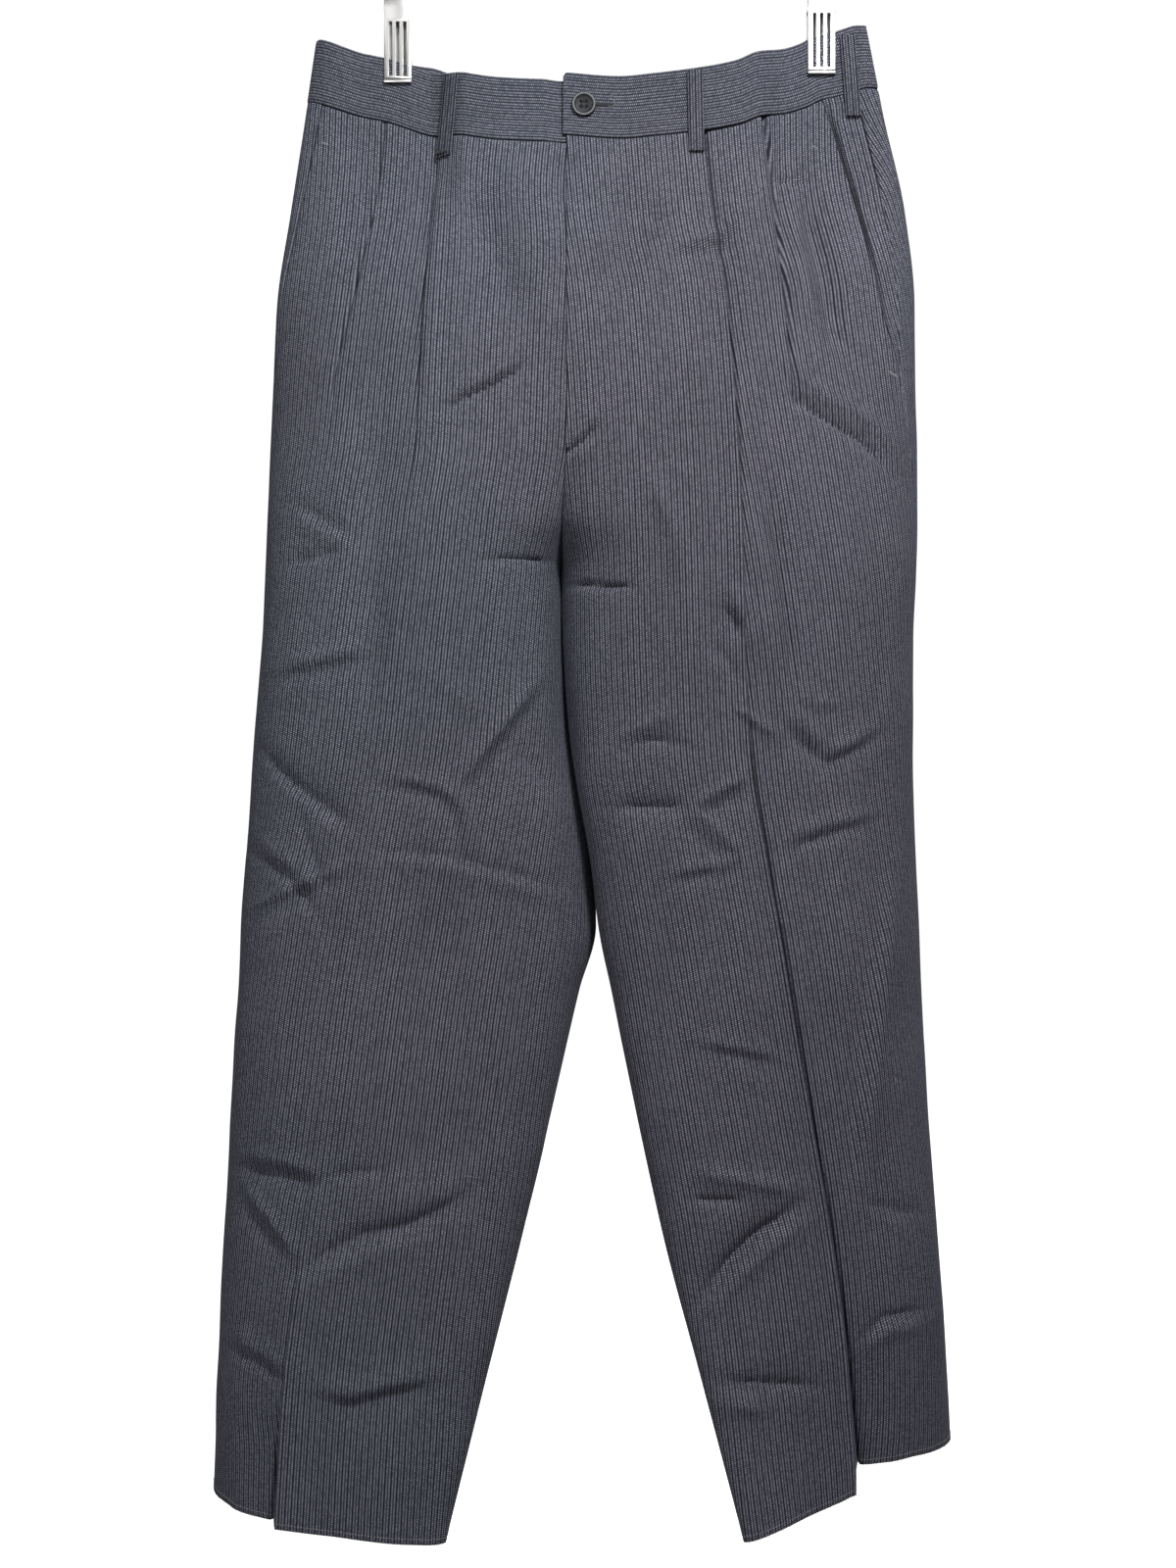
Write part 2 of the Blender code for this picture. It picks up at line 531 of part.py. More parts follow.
def back_panel(leg):
    """A back: side seam, round the side, over the back crease to the inner edge."""
    nominal = np.array(PANEL_ROWS, float)
    hem = leg.hem
    ones = np.ones_like(nominal)
    gap = SEAM_GAP / 2.0 / MEAN_WIDTH
    seam = turn_at(leg.lane["seam"](nominal)) + gap
    columns_made = []
    for i in range(BACK_OUTER_STEPS + 1):
        share = i / BACK_OUTER_STEPS
        turns = seam + (2.0 - seam) * share
        hem_here = hem["outer"] + (hem["back"] - hem["outer"]) * share
        columns_made.append(column(leg, False, turns, nominal, hem_here, None, 2.0))
    for i in range(1, BACK_INNER_STEPS + 1):
        share = i / BACK_INNER_STEPS
        turns = 2.0 - share * (1.0 - BACK_START) * ones
        hem_here = hem["back"] + (hem["inner"] - hem["back"]) * share
        edge = "middle" if i == BACK_INNER_STEPS else None
        if i == BACK_INNER_STEPS:
            turns = turns + seam_turn(leg, nominal)
        columns_made.append(column(leg, True, turns, nominal, hem_here, 1.0 + BACK_START, 2.0, edge))
    drop = np.stack([c[0] for c in columns_made], axis=1)
    points = np.stack([c[1] for c in columns_made], axis=1)
    normals = np.stack([c[2] for c in columns_made], axis=1)
    behind = smoothstep(0.0, 20.0, points[..., 1])
    depth = fold_depth(BACK_FOLDS, points[..., 0], drop) * behind
    outside = points - normals * depth[..., None]
    inside = outside - normals * CLOTH
    return closed_wall(f"back_panel_{leg.name}", outside, inside, CLOTH_FINISH)


def pocket_facing(leg):
    """The cloth behind a slant pocket's mouth, from under the front to the side seam."""
    nominal = np.array([n for n in PANEL_ROWS if n <= POCKET_END], float)
    gap = SEAM_GAP / 2.0 / MEAN_WIDTH
    seam = turn_at(leg.lane["seam"](nominal)) - gap
    mouth = np.minimum(turn_at(leg.lane["mouth"](nominal)), seam - 0.01)
    span = np.abs(leg.at["outer_x"](nominal) - leg.at["crease_x"](nominal))
    start = turn_at(np.sin(mouth * math.pi / 2.0) - POCKET_UNDER / span)
    open_at = np.sin(np.clip((nominal + 20.0) / 170.0, 0.0, 1.0) * math.pi)
    shows = np.clip((seam - mouth - 0.02) / 0.06, 0.0, 1.0)
    outside, outward = [], []
    for i in range(-1, FACING_STEPS + 1):
        share = max(i, 0) / FACING_STEPS
        turns = start if i < 0 else mouth + (seam - mouth) * share
        drop, points, normals = column(leg, False, turns, nominal, HEM_LEVEL, 0.0, None)
        rise = shows * smoothstep(0.3, 1.0, share)
        reach = (POCKET_STEP + POCKET_GAPE[leg.name] * open_at) * (1.0 - rise)
        depth = fold_depth(FRONT_FOLDS, points[..., 0], drop)
        outside.append(points - normals * (reach + depth)[:, None])
        outward.append(normals)
    outside = np.stack(outside, axis=1)
    inside = outside - np.stack(outward, axis=1) * POCKET_WALL
    return closed_wall(f"pocket_facing_{leg.name}", outside, inside, CLOTH_FINISH)


# ---------------------------------------------------------------- waistband
def band_places(leg):
    """The turns of the band's columns: those of the panels' tops, front middle to back middle."""
    pleat = float(turn_at(leg.lane["pleat"](0.0)))
    seam = float(turn_at(leg.lane["seam"](0.0)))
    mouth = min(float(turn_at(leg.lane["mouth"](0.0))), seam)
    places = [(True, 1.0 - i / INNER_STEPS) for i in range(INNER_STEPS)]
    places += [(False, pleat * i / 4) for i in range(5)]
    places += [(False, pleat + (mouth - pleat) * i / OUTER_STEPS)
               for i in range(1, OUTER_STEPS + 1)]
    places += [(False, mouth + (seam - mouth) * i / FACING_STEPS)
               for i in range(1, FACING_STEPS + 1)]
    places += [(False, seam + (2.0 - seam) * i / BACK_OUTER_STEPS)
               for i in range(1, BACK_OUTER_STEPS + 1)]
    places += [(True, 2.0 - (1.0 - BACK_START) * i / BACK_INNER_STEPS)
               for i in range(1, BACK_INNER_STEPS + 1)]
    return places


def waistband(leg):
    """Half the waistband.  The left one's end lies over the right one's at the front."""
    levels = np.array([0.0, 0.35, 0.7, 1.0])
    outside, inside = [], []
    for inward, turn in band_places(leg):
        drop = leg.waist(inward, turn) - BAND_HEIGHT * levels
        turns = np.full(len(levels), turn)
        low, high = (None, None)
        if inward:
            low, high = (0.0, 1.0) if turn <= 1.0 else (1.0 + BACK_START, 2.0)
        elif turn < 0.1:
            low = 0.0
        points = leg.point(inward, turns, drop, True)
        normals = leg.normal(inward, turns, drop, low, high, True)
        if inward and abs(turn - 1.0) < 0.01:
            normals[:, 0] = 0.0
            normals /= np.linalg.norm(normals, axis=-1, keepdims=True)
        outside.append(points + normals * BAND_PROUD)
        inside.append(points + normals * (BAND_PROUD - BAND_WALL))
    return closed_wall(f"waistband_{leg.name}", np.stack(outside, axis=1),
                       np.stack(inside, axis=1), CLOTH_FINISH)


# ---------------------------------------------------------------- loops and button
def surface_y(leg, x, drop, front):
    """Depth of the waist's face straight behind or ahead of each place."""
    turns = np.linspace(0.0, 1.0, 201) if front else np.linspace(1.0 + BACK_START, 2.0, 201)
    found = []
    for x_one, drop_one in zip(x, drop):
        outer = leg.face(False, turns, np.full(201, drop_one), True)
        inner = leg.face(True, turns, np.full(201, drop_one), True)
        xs = np.concatenate([outer[0], inner[0]])
        ys = np.concatenate([outer[1], inner[1]])
        order = np.argsort(xs)
        found.append(np.interp(x_one, xs[order], ys[order]))
    return np.array(found)


def belt_loop(name, leg, top_x, bottom_x, front):
    """A narrow strip sewn at its top and under the waist seam, and free between."""
    along = np.linspace(0.0, 1.0, 13)
    x_mid = top_x + (bottom_x - top_x) * along
    seam = (leg.front_waist if front else leg.back_waist)(x_mid)
    start = seam[0] - BAND_HEIGHT + 2.0
    drop = start + (seam[-1] + LOOP_BELOW - start) * along
    face = -1.0 if front else 1.0
    free = np.sin(along * math.pi) ** 0.5 * LOOP_STANDOFF
    outside, inside = [], []
    for offset in (-LOOP_WIDTH / 2, 0.0, LOOP_WIDTH / 2):
        x = x_mid + offset
        y = surface_y(leg, x, drop, front) + face * (BAND_PROUD + LOOP_SEAT + free)
        z = WAIST_LEVEL - drop
        inside.append(np.stack([x, y, z], axis=-1))
        outside.append(np.stack([x, y + face * LOOP_WALL, z], axis=-1))
    return closed_wall(name, np.stack(outside, axis=1), np.stack(inside, axis=1), CLOTH_FINISH)


def waist_button():
    """A four-hole button: a dished disc with a rim, turned and drilled."""
    rim = 1.6
    profile = [(0.0, 0.9), (BUTTON_RADIUS - rim - 0.8, 0.9), (BUTTON_RADIUS - rim, 0.0),
               (BUTTON_RADIUS - 0.5, 0.0), (BUTTON_RADIUS, 0.7), (BUTTON_RADIUS - 0.6, 2.0),
               (BUTTON_RADIUS - 2.5, BUTTON_WALL), (0.0, BUTTON_WALL)]
    mesh_data = bmesh.new()
    verts = [mesh_data.verts.new((radius, depth, 0.0)) for radius, depth in profile]
    edges = [mesh_data.edges.new(pair) for pair in zip(verts, verts[1:])]
    bmesh.ops.spin(mesh_data, geom=verts + edges, cent=(0, 0, 0), axis=(0, 1, 0),
                   angle=2.0 * math.pi, steps=28, use_merge=True)
    bmesh.ops.remove_doubles(mesh_data, verts=mesh_data.verts, dist=0.001)
    seat = surface_y(LEFT, np.array([BUTTON_X]), np.array([BUTTON_DROP]), True)[0]
    depth = seat - BAND_PROUD - SEAM_GAP - BUTTON_WALL - 0.2
    place = Matrix.Translation((BUTTON_X, depth, WAIST_LEVEL - BUTTON_DROP))
    bmesh.ops.transform(mesh_data, matrix=place, verts=mesh_data.verts)
    button = object_from("waist_button", mesh_data, BUTTON_FINISH)
    for i in range(4):
        angle = math.pi / 4 + i * math.pi / 2
        drill = bmesh.new()
        bmesh.ops.create_cone(drill, cap_ends=True, segments=10, radius1=BUTTON_HOLE,
                              radius2=BUTTON_HOLE, depth=12.0)
        turn = Matrix.Rotation(math.pi / 2, 4, "X")
        shift = Matrix.Translation((BUTTON_X + BUTTON_HOLE_OFFSET * math.cos(angle), depth,
                                    WAIST_LEVEL - BUTTON_DROP + BUTTON_HOLE_OFFSET * math.sin(angle)))
        bmesh.ops.transform(drill, matrix=shift @ turn, verts=drill.verts)
        cutter = object_from(f"button_drill_{i}", drill, STEEL_FINISH)
        cut(button, cutter)
    return button


# ---------------------------------------------------------------- hanger
def apply_boolean(target, tool, operation):
    """Join or cut two objects and keep the result in the target's own mesh."""
    modifier = target.modifiers.new(operation.title(), "BOOLEAN")
    modifier.operation = operation
    modifier.object = tool
    bpy.context.view_layer.update()
    depsgraph = bpy.context.evaluated_depsgraph_get()
    result = bpy.data.meshes.new_from_object(target.evaluated_get(depsgraph))
    target.modifiers.clear()
    target.data = result
    bpy.data.objects.remove(tool)


def cut(target, cutter):
    apply_boolean(target, cutter, "DIFFERENCE")


def join(target, other):
    apply_boolean(target, other, "UNION")


def bar_level(x):
    return BAR_LEVEL + BAR_TILT * x


def rod(name, radius, start, end, segments, finish):
    """A straight round rod between two points."""
    start, end = Vector(start), Vector(end)
    axis = end - start
    mesh_data = bmesh.new()
    bmesh.ops.create_cone(mesh_data, cap_ends=True, segments=segments, radius1=radius,
                          radius2=radius, depth=axis.length)
    turn = axis.to_track_quat("Z", "Y").to_matrix().to_4x4()
    place = Matrix.Translation((start + end) / 2.0) @ turn
    bmesh.ops.transform(mesh_data, matrix=place, verts=mesh_data.verts)
    return object_from(name, mesh_data, finish)


def slab(name, outline, x_low, x_high, finish):
    """A y-z outline drawn along x."""
    mesh_data = bmesh.new()
    verts = [mesh_data.verts.new((x_low, y, z)) for y, z in outline]
    face = mesh_data.faces.new(verts)
    made = bmesh.ops.extrude_face_region(mesh_data, geom=[face])
    moved = [v for v in made["geom"] if isinstance(v, bmesh.types.BMVert)]
    bmesh.ops.translate(mesh_data, vec=(x_high - x_low, 0.0, 0.0), verts=moved)
    return object_from(name, mesh_data, finish)


def clip(name, x_mid, tip_level):
    """A sprung clip: two jaws under a body that the bar runs through."""
    bar = bar_level(x_mid)
    jaw_in = CLIP_PINCH + BAND_PROUD + SEAM_GAP + 0.05
    jaw_out = jaw_in + 1.6
    shoulder = bar - 17.0
    side = [(-5.2, bar + 5.4), (-6.4, bar + 3.0), (-6.4, shoulder + 3.0), (-jaw_out, shoulder - 4.0),
            (-jaw_out, tip_level + 3.0), (-jaw_out - 1.1, tip_level + 1.6),
            (-jaw_out - 1.1, tip_level), (-jaw_in, tip_level), (-jaw_in, shoulder - 4.0)]
    outline = side + [(-y, z) for y, z in reversed(side)]
    body = slab(name, outline, x_mid - CLIP_WIDTH / 2, x_mid + CLIP_WIDTH / 2, STEEL_FINISH)
    reach = CLIP_WIDTH
    bore = rod("bore", BAR_RADIUS + BORE_GAP, (x_mid - reach, 0.0, bar_level(x_mid - reach)),
               (x_mid + reach, 0.0, bar_level(x_mid + reach)), 16, STEEL_FINISH)
    cut(body, bore)
    return body


def hanger_hook():
    """A wire hook whose stem stands in a sleeve on the bar."""
    wire_radius = HOOK_RADIUS + HOOK_WIRE
    centre = -HOOK_RADIUS
    curve = bpy.data.curves.new("hook_path", "CURVE")
    curve.dimensions = "3D"
    route = [(0.0, BAR_LEVEL + 5.0), (0.0, BAR_LEVEL + 14.0), (0.6, centre - wire_radius - 3.0)]
    for i in range(19):
        angle = math.radians(-78.0 + i * 14.0)
        route.append((wire_radius * math.cos(angle), centre + wire_radius * math.sin(angle)))
    spline = curve.splines.new("POLY")
    spline.points.add(len(route) - 1)
    for spot, (x, z) in zip(spline.points, route):
        spot.co = (x * MM, 0.0, z * MM, 1.0)
    curve.bevel_depth = HOOK_WIRE * MM
    curve.bevel_resolution = 2
    curve.use_fill_caps = True
    path = bpy.data.objects.new("hook_path", curve)
    bpy.context.collection.objects.link(path)
    bpy.context.view_layer.update()
    mesh = bpy.data.meshes.new_from_object(path.evaluated_get(bpy.context.evaluated_depsgraph_get()))
    bpy.data.objects.remove(path)
    mesh.name = "hanger_hook"
    mesh.materials.clear()
    mesh.materials.append(material("hanger_hook", *STEEL_FINISH))
    hook = bpy.data.objects.new("hanger_hook", mesh)
    bpy.context.collection.objects.link(hook)
    sleeve = slab("sleeve", [(-5.0, BAR_LEVEL - 5.0), (5.0, BAR_LEVEL - 5.0),
                             (5.0, BAR_LEVEL + 7.0), (-5.0, BAR_LEVEL + 7.0)],
                  -7.0, 7.0, STEEL_FINISH)
    join(hook, sleeve)
    bore = rod("bore", BAR_RADIUS + BORE_GAP, (-20.0, 0.0, bar_level(-20.0)),
               (20.0, 0.0, bar_level(20.0)), 16, STEEL_FINISH)
    cut(hook, bore)
    return hook


def hanger():
    rod("hanger_bar", BAR_RADIUS, (-BAR_HALF, 0.0, bar_level(-BAR_HALF)),
        (BAR_HALF, 0.0, bar_level(BAR_HALF)), 16, STEEL_FINISH)
    clip("hanger_clip_right", -CLIP_X, -142.4)
    clip("hanger_clip_left", CLIP_X, -136.6)
    hanger_hook()


def main():
    for old in list(bpy.data.objects):
        bpy.data.objects.remove(old)
    for leg in (RIGHT, LEFT):
        front_panel(leg)
        back_panel(leg)
        waistband(leg)
        pocket_facing(leg)
    belt_loop("belt_loop_front_right", RIGHT, -104.0, -109.0, True)
    belt_loop("belt_loop_front_left", LEFT, 55.5, 56.5, True)
    belt_loop("belt_loop_side_left", LEFT, 157.0, 161.0, True)
    belt_loop("belt_loop_side_right", RIGHT, -176.0, -181.0, False)
    belt_loop("belt_loop_back_right", RIGHT, -84.0, -85.0, False)
    belt_loop("belt_loop_back_left", LEFT, 30.0, 31.0, False)
    waist_button()
    hanger()


main()
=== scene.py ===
"""Looks of the pleated dress trousers that hang by the waistband from a clip hanger.

The origin is the inner top of the hanger's hook, +X runs to the wearer's left, -Y is the front
of the trousers and +Z is up.  The form of the cloth is worked out in millimetres and the meshes
are in metres.  Heights on the cloth are drops: distances below the front waist seam.
"""

import math

import bmesh
import bpy
import numpy as np
from mathutils import Matrix, Vector


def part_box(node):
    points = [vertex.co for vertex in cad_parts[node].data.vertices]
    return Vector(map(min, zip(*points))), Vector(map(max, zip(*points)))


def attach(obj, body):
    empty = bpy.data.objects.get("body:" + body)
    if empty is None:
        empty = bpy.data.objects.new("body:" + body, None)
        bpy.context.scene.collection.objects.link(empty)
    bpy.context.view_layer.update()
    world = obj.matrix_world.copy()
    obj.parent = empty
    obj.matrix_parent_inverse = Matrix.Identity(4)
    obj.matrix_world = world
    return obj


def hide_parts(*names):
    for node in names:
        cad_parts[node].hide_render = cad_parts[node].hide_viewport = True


bl_info = {
    "name": "Pleated dress trousers",
    "version": (1, 0, 0),
    "blender": (4, 5, 0),
    "location": "3D View > Sidebar > Trousers",
    "description": "Builds striped pleated trousers on a clip hanger around their solids",
    "category": "Add Mesh",
}

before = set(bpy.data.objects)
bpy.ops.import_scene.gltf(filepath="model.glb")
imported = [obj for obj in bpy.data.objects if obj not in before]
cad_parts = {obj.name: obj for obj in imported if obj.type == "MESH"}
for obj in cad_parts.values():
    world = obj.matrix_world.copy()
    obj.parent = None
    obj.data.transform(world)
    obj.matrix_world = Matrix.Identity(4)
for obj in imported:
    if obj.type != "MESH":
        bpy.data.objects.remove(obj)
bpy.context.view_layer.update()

MM = 0.001
BODY = "root"

# ---------------------------------------------------------------- sizes of the cloth
WAIST_LEVEL = -180.0        # height of the front waist seam under the hook
WALL = 1.1                  # wall of a single panel
BAND_WALL = 2.2
BAND_HEIGHT = 41.5
BAND_PROUD = 0.25
SEAM_GAP = 0.3
SEAM_CLOSE = 0.8            # how far each front goes past the middle under the fly
BACK_CLOSE = 0.24           # how far each back goes towards the middle, to meet the other
ROUNDNESS = 2.8             # exponent of the corner between a panel's face and its side

FLY_DEPTH = 205.0
FLY_SHUT = (FLY_DEPTH - 15.0, FLY_DEPTH + 20.0)     # the fly goes over to a seam here
LEGS_PART = (380.0, 430.0)  # the middle seams no longer pull together below this
FLY_UNDERLAP = 10.0
FLY_RECESS = 2.3
FLY_STEP = (-42.0, -30.5)   # x over which the right front goes back under the fly
FLY_STEP_END = (224.0, 250.0)
BAND_UNDERLAP = 30.0
BAND_RECESS = 3.0
BAND_STEP = (-45.0, -32.5)  # x over which the right half goes back under the left one
BAND_OVERHANG = 2.6
BAND_CORNER = 3.0           # radius of the band end's upper corner

LAP_SHARE = 0.2             # share of its lap that the right crease keeps along the leg
LAP_FADE_TOP = (200.0, 300.0)
LAP_FADE_HEM = (800.0, 850.0)
PLEAT_INTAKE_2 = 2.4
PLEAT_FADE_2 = (70.0, 175.0)
PLEAT_RETURN = 22.0

POCKET_UNDER = 10.0
POCKET_STEP = 1.8
POCKET_WALL = 1.0
POCKET_GAP = 3.8            # how much farther in the facing lies behind its open mouth
POCKET_END = 172.0
POCKET_SHUT = (POCKET_END - 15.0, POCKET_END + 25.0)    # the mouth goes over to a seam here

CLIP_X = 140.0
CLIP_WIDTH = 18.0
CLIP_PINCH = 3.4
PINCH_FLAT = 20.0
PINCH_FADE = 27.0
PINCH_TOP = -25.0
PINCH_END = 110.0

LOOP_OFFSETS = (-5.0, -4.8, -4.2, -3.2, -1.8, 0.0, 1.8, 3.2, 4.2, 4.8, 5.0)
LOOP_THIN = 0.42            # share of its thickness that a loop keeps at its edges
LOOP_ROUND = 0.58           # share that its round back adds
LOOP_WALL = 1.7
LOOP_BELOW = 15.0
LOOP_STANDOFF = 1.3
LOOP_SEAT = 0.6

BUTTON_X = -17.0
BUTTON_DROP = -18.0
BUTTON_RADIUS = 8.0
BUTTON_WALL = 2.6

BAR_LEVEL = -76.0
BAR_TILT = 5.8 / 280.0
BAR_RADIUS = 3.0
BAR_HALF = 186.0
HOOK_WIRE = 2.2
HOOK_RADIUS = 21.0

HEM_LEVEL = 890.0
HEM_BLEND = 690.0
WAIST_BLEND = 130.0
LAST_RUN = 0.975            # past this share of its run, a half reaches for the other one
BACK_START = 0.0001
INSEAM_TURN = 0.00003
CROTCH_DROP = 290.0
CROTCH_FADE = (CROTCH_DROP - 40.0, CROTCH_DROP)
MEAN_WIDTH = 110.0          # usual width of half a section, which turns a gap into a turn
GAP_TURN = SEAM_GAP / 2.0 / MEAN_WIDTH

FIRST_ROWS = (0.0, 0.4, 1.3)    # closer rows below a sewn edge, and how far each rolls under
ROW_ROLL = (1.2, 0.75, 0.2)
LAST_ROWS = (3.4, 1.2, 0.4, 0.0)
# The columns at a sewn edge: their place in the section, and their distance from the edge.
INNER_EDGE = ((0.0, 0.0), (0.002, 0.3), (0.007, 1.0))
FRONT_SIDE_EDGE = ((0.992, 1.0), (0.997, 0.35), (1.0, 0.0))
BACK_SIDE_EDGE = ((0.0, 0.0), (0.003, 0.35), (0.008, 1.0))
CREASE_TURN = 0.002         # turn from a pressed crease to the column that lies behind it
PLEAT_TURN = 0.006          # turn from a pleat's line to the column on each side of it
ROLL_REACH = 1.3            # a sewn edge rolls under over this distance
ROLL_DEPTH = 0.55
SEAM_FLAT = 0.8             # how much less an inseam's edges roll than the others
SEAM_FADE = 12.0            # folds die away this near a seam, so that its two sides meet
CELL = 2.45                 # side of one cell of a panel's grid
CREASE_GAIN = 1.8           # how much deeper the fine creases are than they were charted
CREASE_PRESS = 0.62         # how much narrower the keenest creases are
MAIN_SHARE = 0.7            # share of the large folds' depth that the finished cloth keeps
CREASE_GROOVE = {"right": 2.0, "left": 3.4}  # depth of the groove beside a pressed crease
PLEAT_GROOVE = {"right": 2.4, "left": 4.2}
PRESSED = {"right": (810.0, 870.0), "left": (330.0, 420.0)}  # where each crease shows again
STEP_LEAN = 0.25            # how far a pressed edge leans over its groove
STEP_DEEPEST = 30.0
STEP_BULGE = 0.22
STEP_ROLL = 0.15

RIPPLES = 9
RIPPLE_WAVES = (24.0, 90.0)
RIPPLE_SHARE = 0.0035       # height of a ripple as a share of its wave
FULL_TURN = 6.28
FRONT_SEED = 11
BACK_SEED = 23

# ---------------------------------------------------------------- sections of the legs
COLUMNS = ("drop", "inner_x", "crease_x", "outer_x", "front", "inner_front", "inner_y",
           "outer_front", "outer_y", "lap",
           "back_x", "back", "inner_back", "inner_span", "outer_back")

RIGHT_LEG = (
    (-75, -28.5, -112, -193, -19, -18, -18, -12, 0, 0.0, -108, 19, 20, 38, 12),
    (-20, -28.5, -112, -201, -19, -19, -19, -13, 0, 2.4, -110, 21, 22, 41, 14),
    (50, -28.5, -115, -211, -34, -34, -34, -26, -2, 2.8, -118, 38, 40, 74, 28),
    (110, -28.2, -118, -219, -50, -49, -49, -40, -4, 2.6, -122, 52, 54, 101, 40),
    (160, -28.0, -120, -221, -60, -58, -58, -48, -5, 1.8, -125, 60, 62, 116, 50),
    (210, -28.0, -122, -223, -66, -63, -62, -54, -5, 0.8, -130, 64, 66, 120, 55),
    (255, -31.0, -128, -224.5, -69, -66, -46, -58, -5, 0.4, -134, 66, 67, 92, 58),
    (290, -32.0, -132, -226, -70, -67, -2, -60, -5, 0.4, -138, 66, 66, 4, 60),
    (330, -31.0, -137, -228, -70, -67, 3, -61, -3, 0.5, -141, 66, 64, 0, 60),
    (400, -24.4, -145, -234, -70, -67, 8, -61, -1, 0.6, -148, 65, 62, 0, 59),
    (480, -11.2, -159, -239, -69, -67, 8, -60, 0, 0.8, -154, 64, 60, 0, 57),
    (518, -9.0, -165, -242, -69, -67, 2, -59, 0, 1.0, -155, 63, 58, 0, 56),
    (560, -19.8, -172, -244, -69, -68, -12, -58, 0, 1.2, -156, 62, 56, 0, 55),
    (640, -38.5, -183, -249, -70, -70, -28, -56, 0, 2.0, -156, 60, 52, 0, 52),
    (720, -57.5, -194, -253, -71, -73, -37, -53, 0, 3.5, -156, 56, 45, 0, 47),
    (800, -78.0, -204, -257, -73, -75, -46, -50, 0, 6.0, -157, 50, 36, 0, 40),
    (920, -108.0, -211, -262, -76, -80, -58, -38, 0, 12.0, -158, 42, 20, 0, 28),
)

LEFT_LEG = (
    (-75, -28.0, 58, 170, -18, -18, -18, -11, 0, 0.0, 60, 19, 20, 38, 11),
    (-20, -28.0, 60, 181, -18, -19, -19, -12, 0, 2.4, 62, 21, 22, 41, 13),
    (50, -28.0, 65, 195.5, -33, -34, -34, -25, -2, 2.8, 72, 38, 40, 74, 27),
    (110, -27.7, 73, 201, -49, -49, -49, -38, -4, 2.6, 80, 52, 54, 101, 38),
    (160, -27.5, 77, 201, -59, -58, -58, -46, -5, 1.8, 84, 60, 62, 116, 48),
    (210, -27.5, 80, 202, -65, -63, -62, -52, -5, 1.0, 86, 64, 66, 120, 54),
    (255, -30.7, 82, 202, -68, -66, -46, -56, -5, 0.8, 88, 66, 67, 92, 57),
    (290, -31.7, 83, 201, -69, -67, -2, -58, -5, 0.8, 89, 66, 66, 4, 58),
    (330, -30.2, 84, 199.5, -69, -68, -9, -58, -3, 1.0, 90, 66, 64, 0, 58),
    (400, -25.2, 87, 199.5, -68, -68, -20, -57, 0, 1.6, 90, 65, 62, 0, 57),
    (480, -12.2, 99, 202, -67, -69, -27, -54, 2, 2.6, 90, 64, 58, 0, 56),
    (518, -7.6, 106, 204, -66, -70, -29, -52, 3, 3.0, 90, 63, 56, 0, 56),
    (560, 1.0, 113, 206, -65, -70, -30, -50, 5, 3.4, 91, 61, 52, 0, 55),
    (640, 17.3, 127, 211, -61, -72, -35, -44, 9, 4.6, 92, 58, 46, 0, 54),
    (720, 35.0, 141, 218, -56, -74, -43, -36, 14, 7.0, 95, 54, 37, 0, 51),
    (800, 56.6, 151, 225, -50, -76, -52, -26, 20, 11.0, 100, 50, 26, 0, 46),
    (920, 88.5, 160, 233, -39, -82, -66, -8, 29, 26.0, 104, 42, 6, 0, 40),
)

# Lines on the outer half of each front, as shares of the way from crease to side.
LANES = ("drop", "pleat", "mouth", "seam")
RIGHT_LANES = (
    (-30, 0.40, 0.86, 0.995),
    (40, 0.40, 0.89, 0.995),
    (95, 0.43, 0.93, 0.995),
    (143, 0.51, 0.96, 0.995),
    (172, 0.55, 0.985, 0.995),
    (330, 0.55, 1.0, 0.995),
)
LEFT_LANES = (
    (-30, 0.33, 0.63, 0.87),
    (28, 0.33, 0.71, 0.875),
    (68, 0.32, 0.745, 0.88),
    (107, 0.30, 0.785, 0.885),
    (155, 0.30, 0.868, 0.895),
    (200, 0.32, 0.95, 0.93),
    (270, 0.34, 1.0, 0.995),
)

# Drop of the waist seam along each half.
RIGHT_WAIST = ((-201, -25), (-182, -19), (-150, -13), (-114, -2), (-70, 5), (-28, 6.5))
LEFT_WAIST = ((-31, 1.5), (7, 4), (29, 2), (61, -2), (86, -7), (101, -13), (135, -23),
              (144, -27), (158, -30), (176, -35))
RIGHT_BACK_WAIST = ((-201, -25), (-182, -20), (-140, -11), (-90, -6), (-28, -5))
LEFT_BACK_WAIST = ((-28, -5), (60, -10), (101, -17), (140, -25), (158, -30), (176, -35))

RIGHT_HEM = {"inner": 904.0, "crease": 890.0, "behind": 888.0, "outer": 885.0, "back": 896.0}
LEFT_HEM = {"inner": 901.0, "crease": 881.0, "behind": 867.0, "outer": 863.0, "back": 880.0}

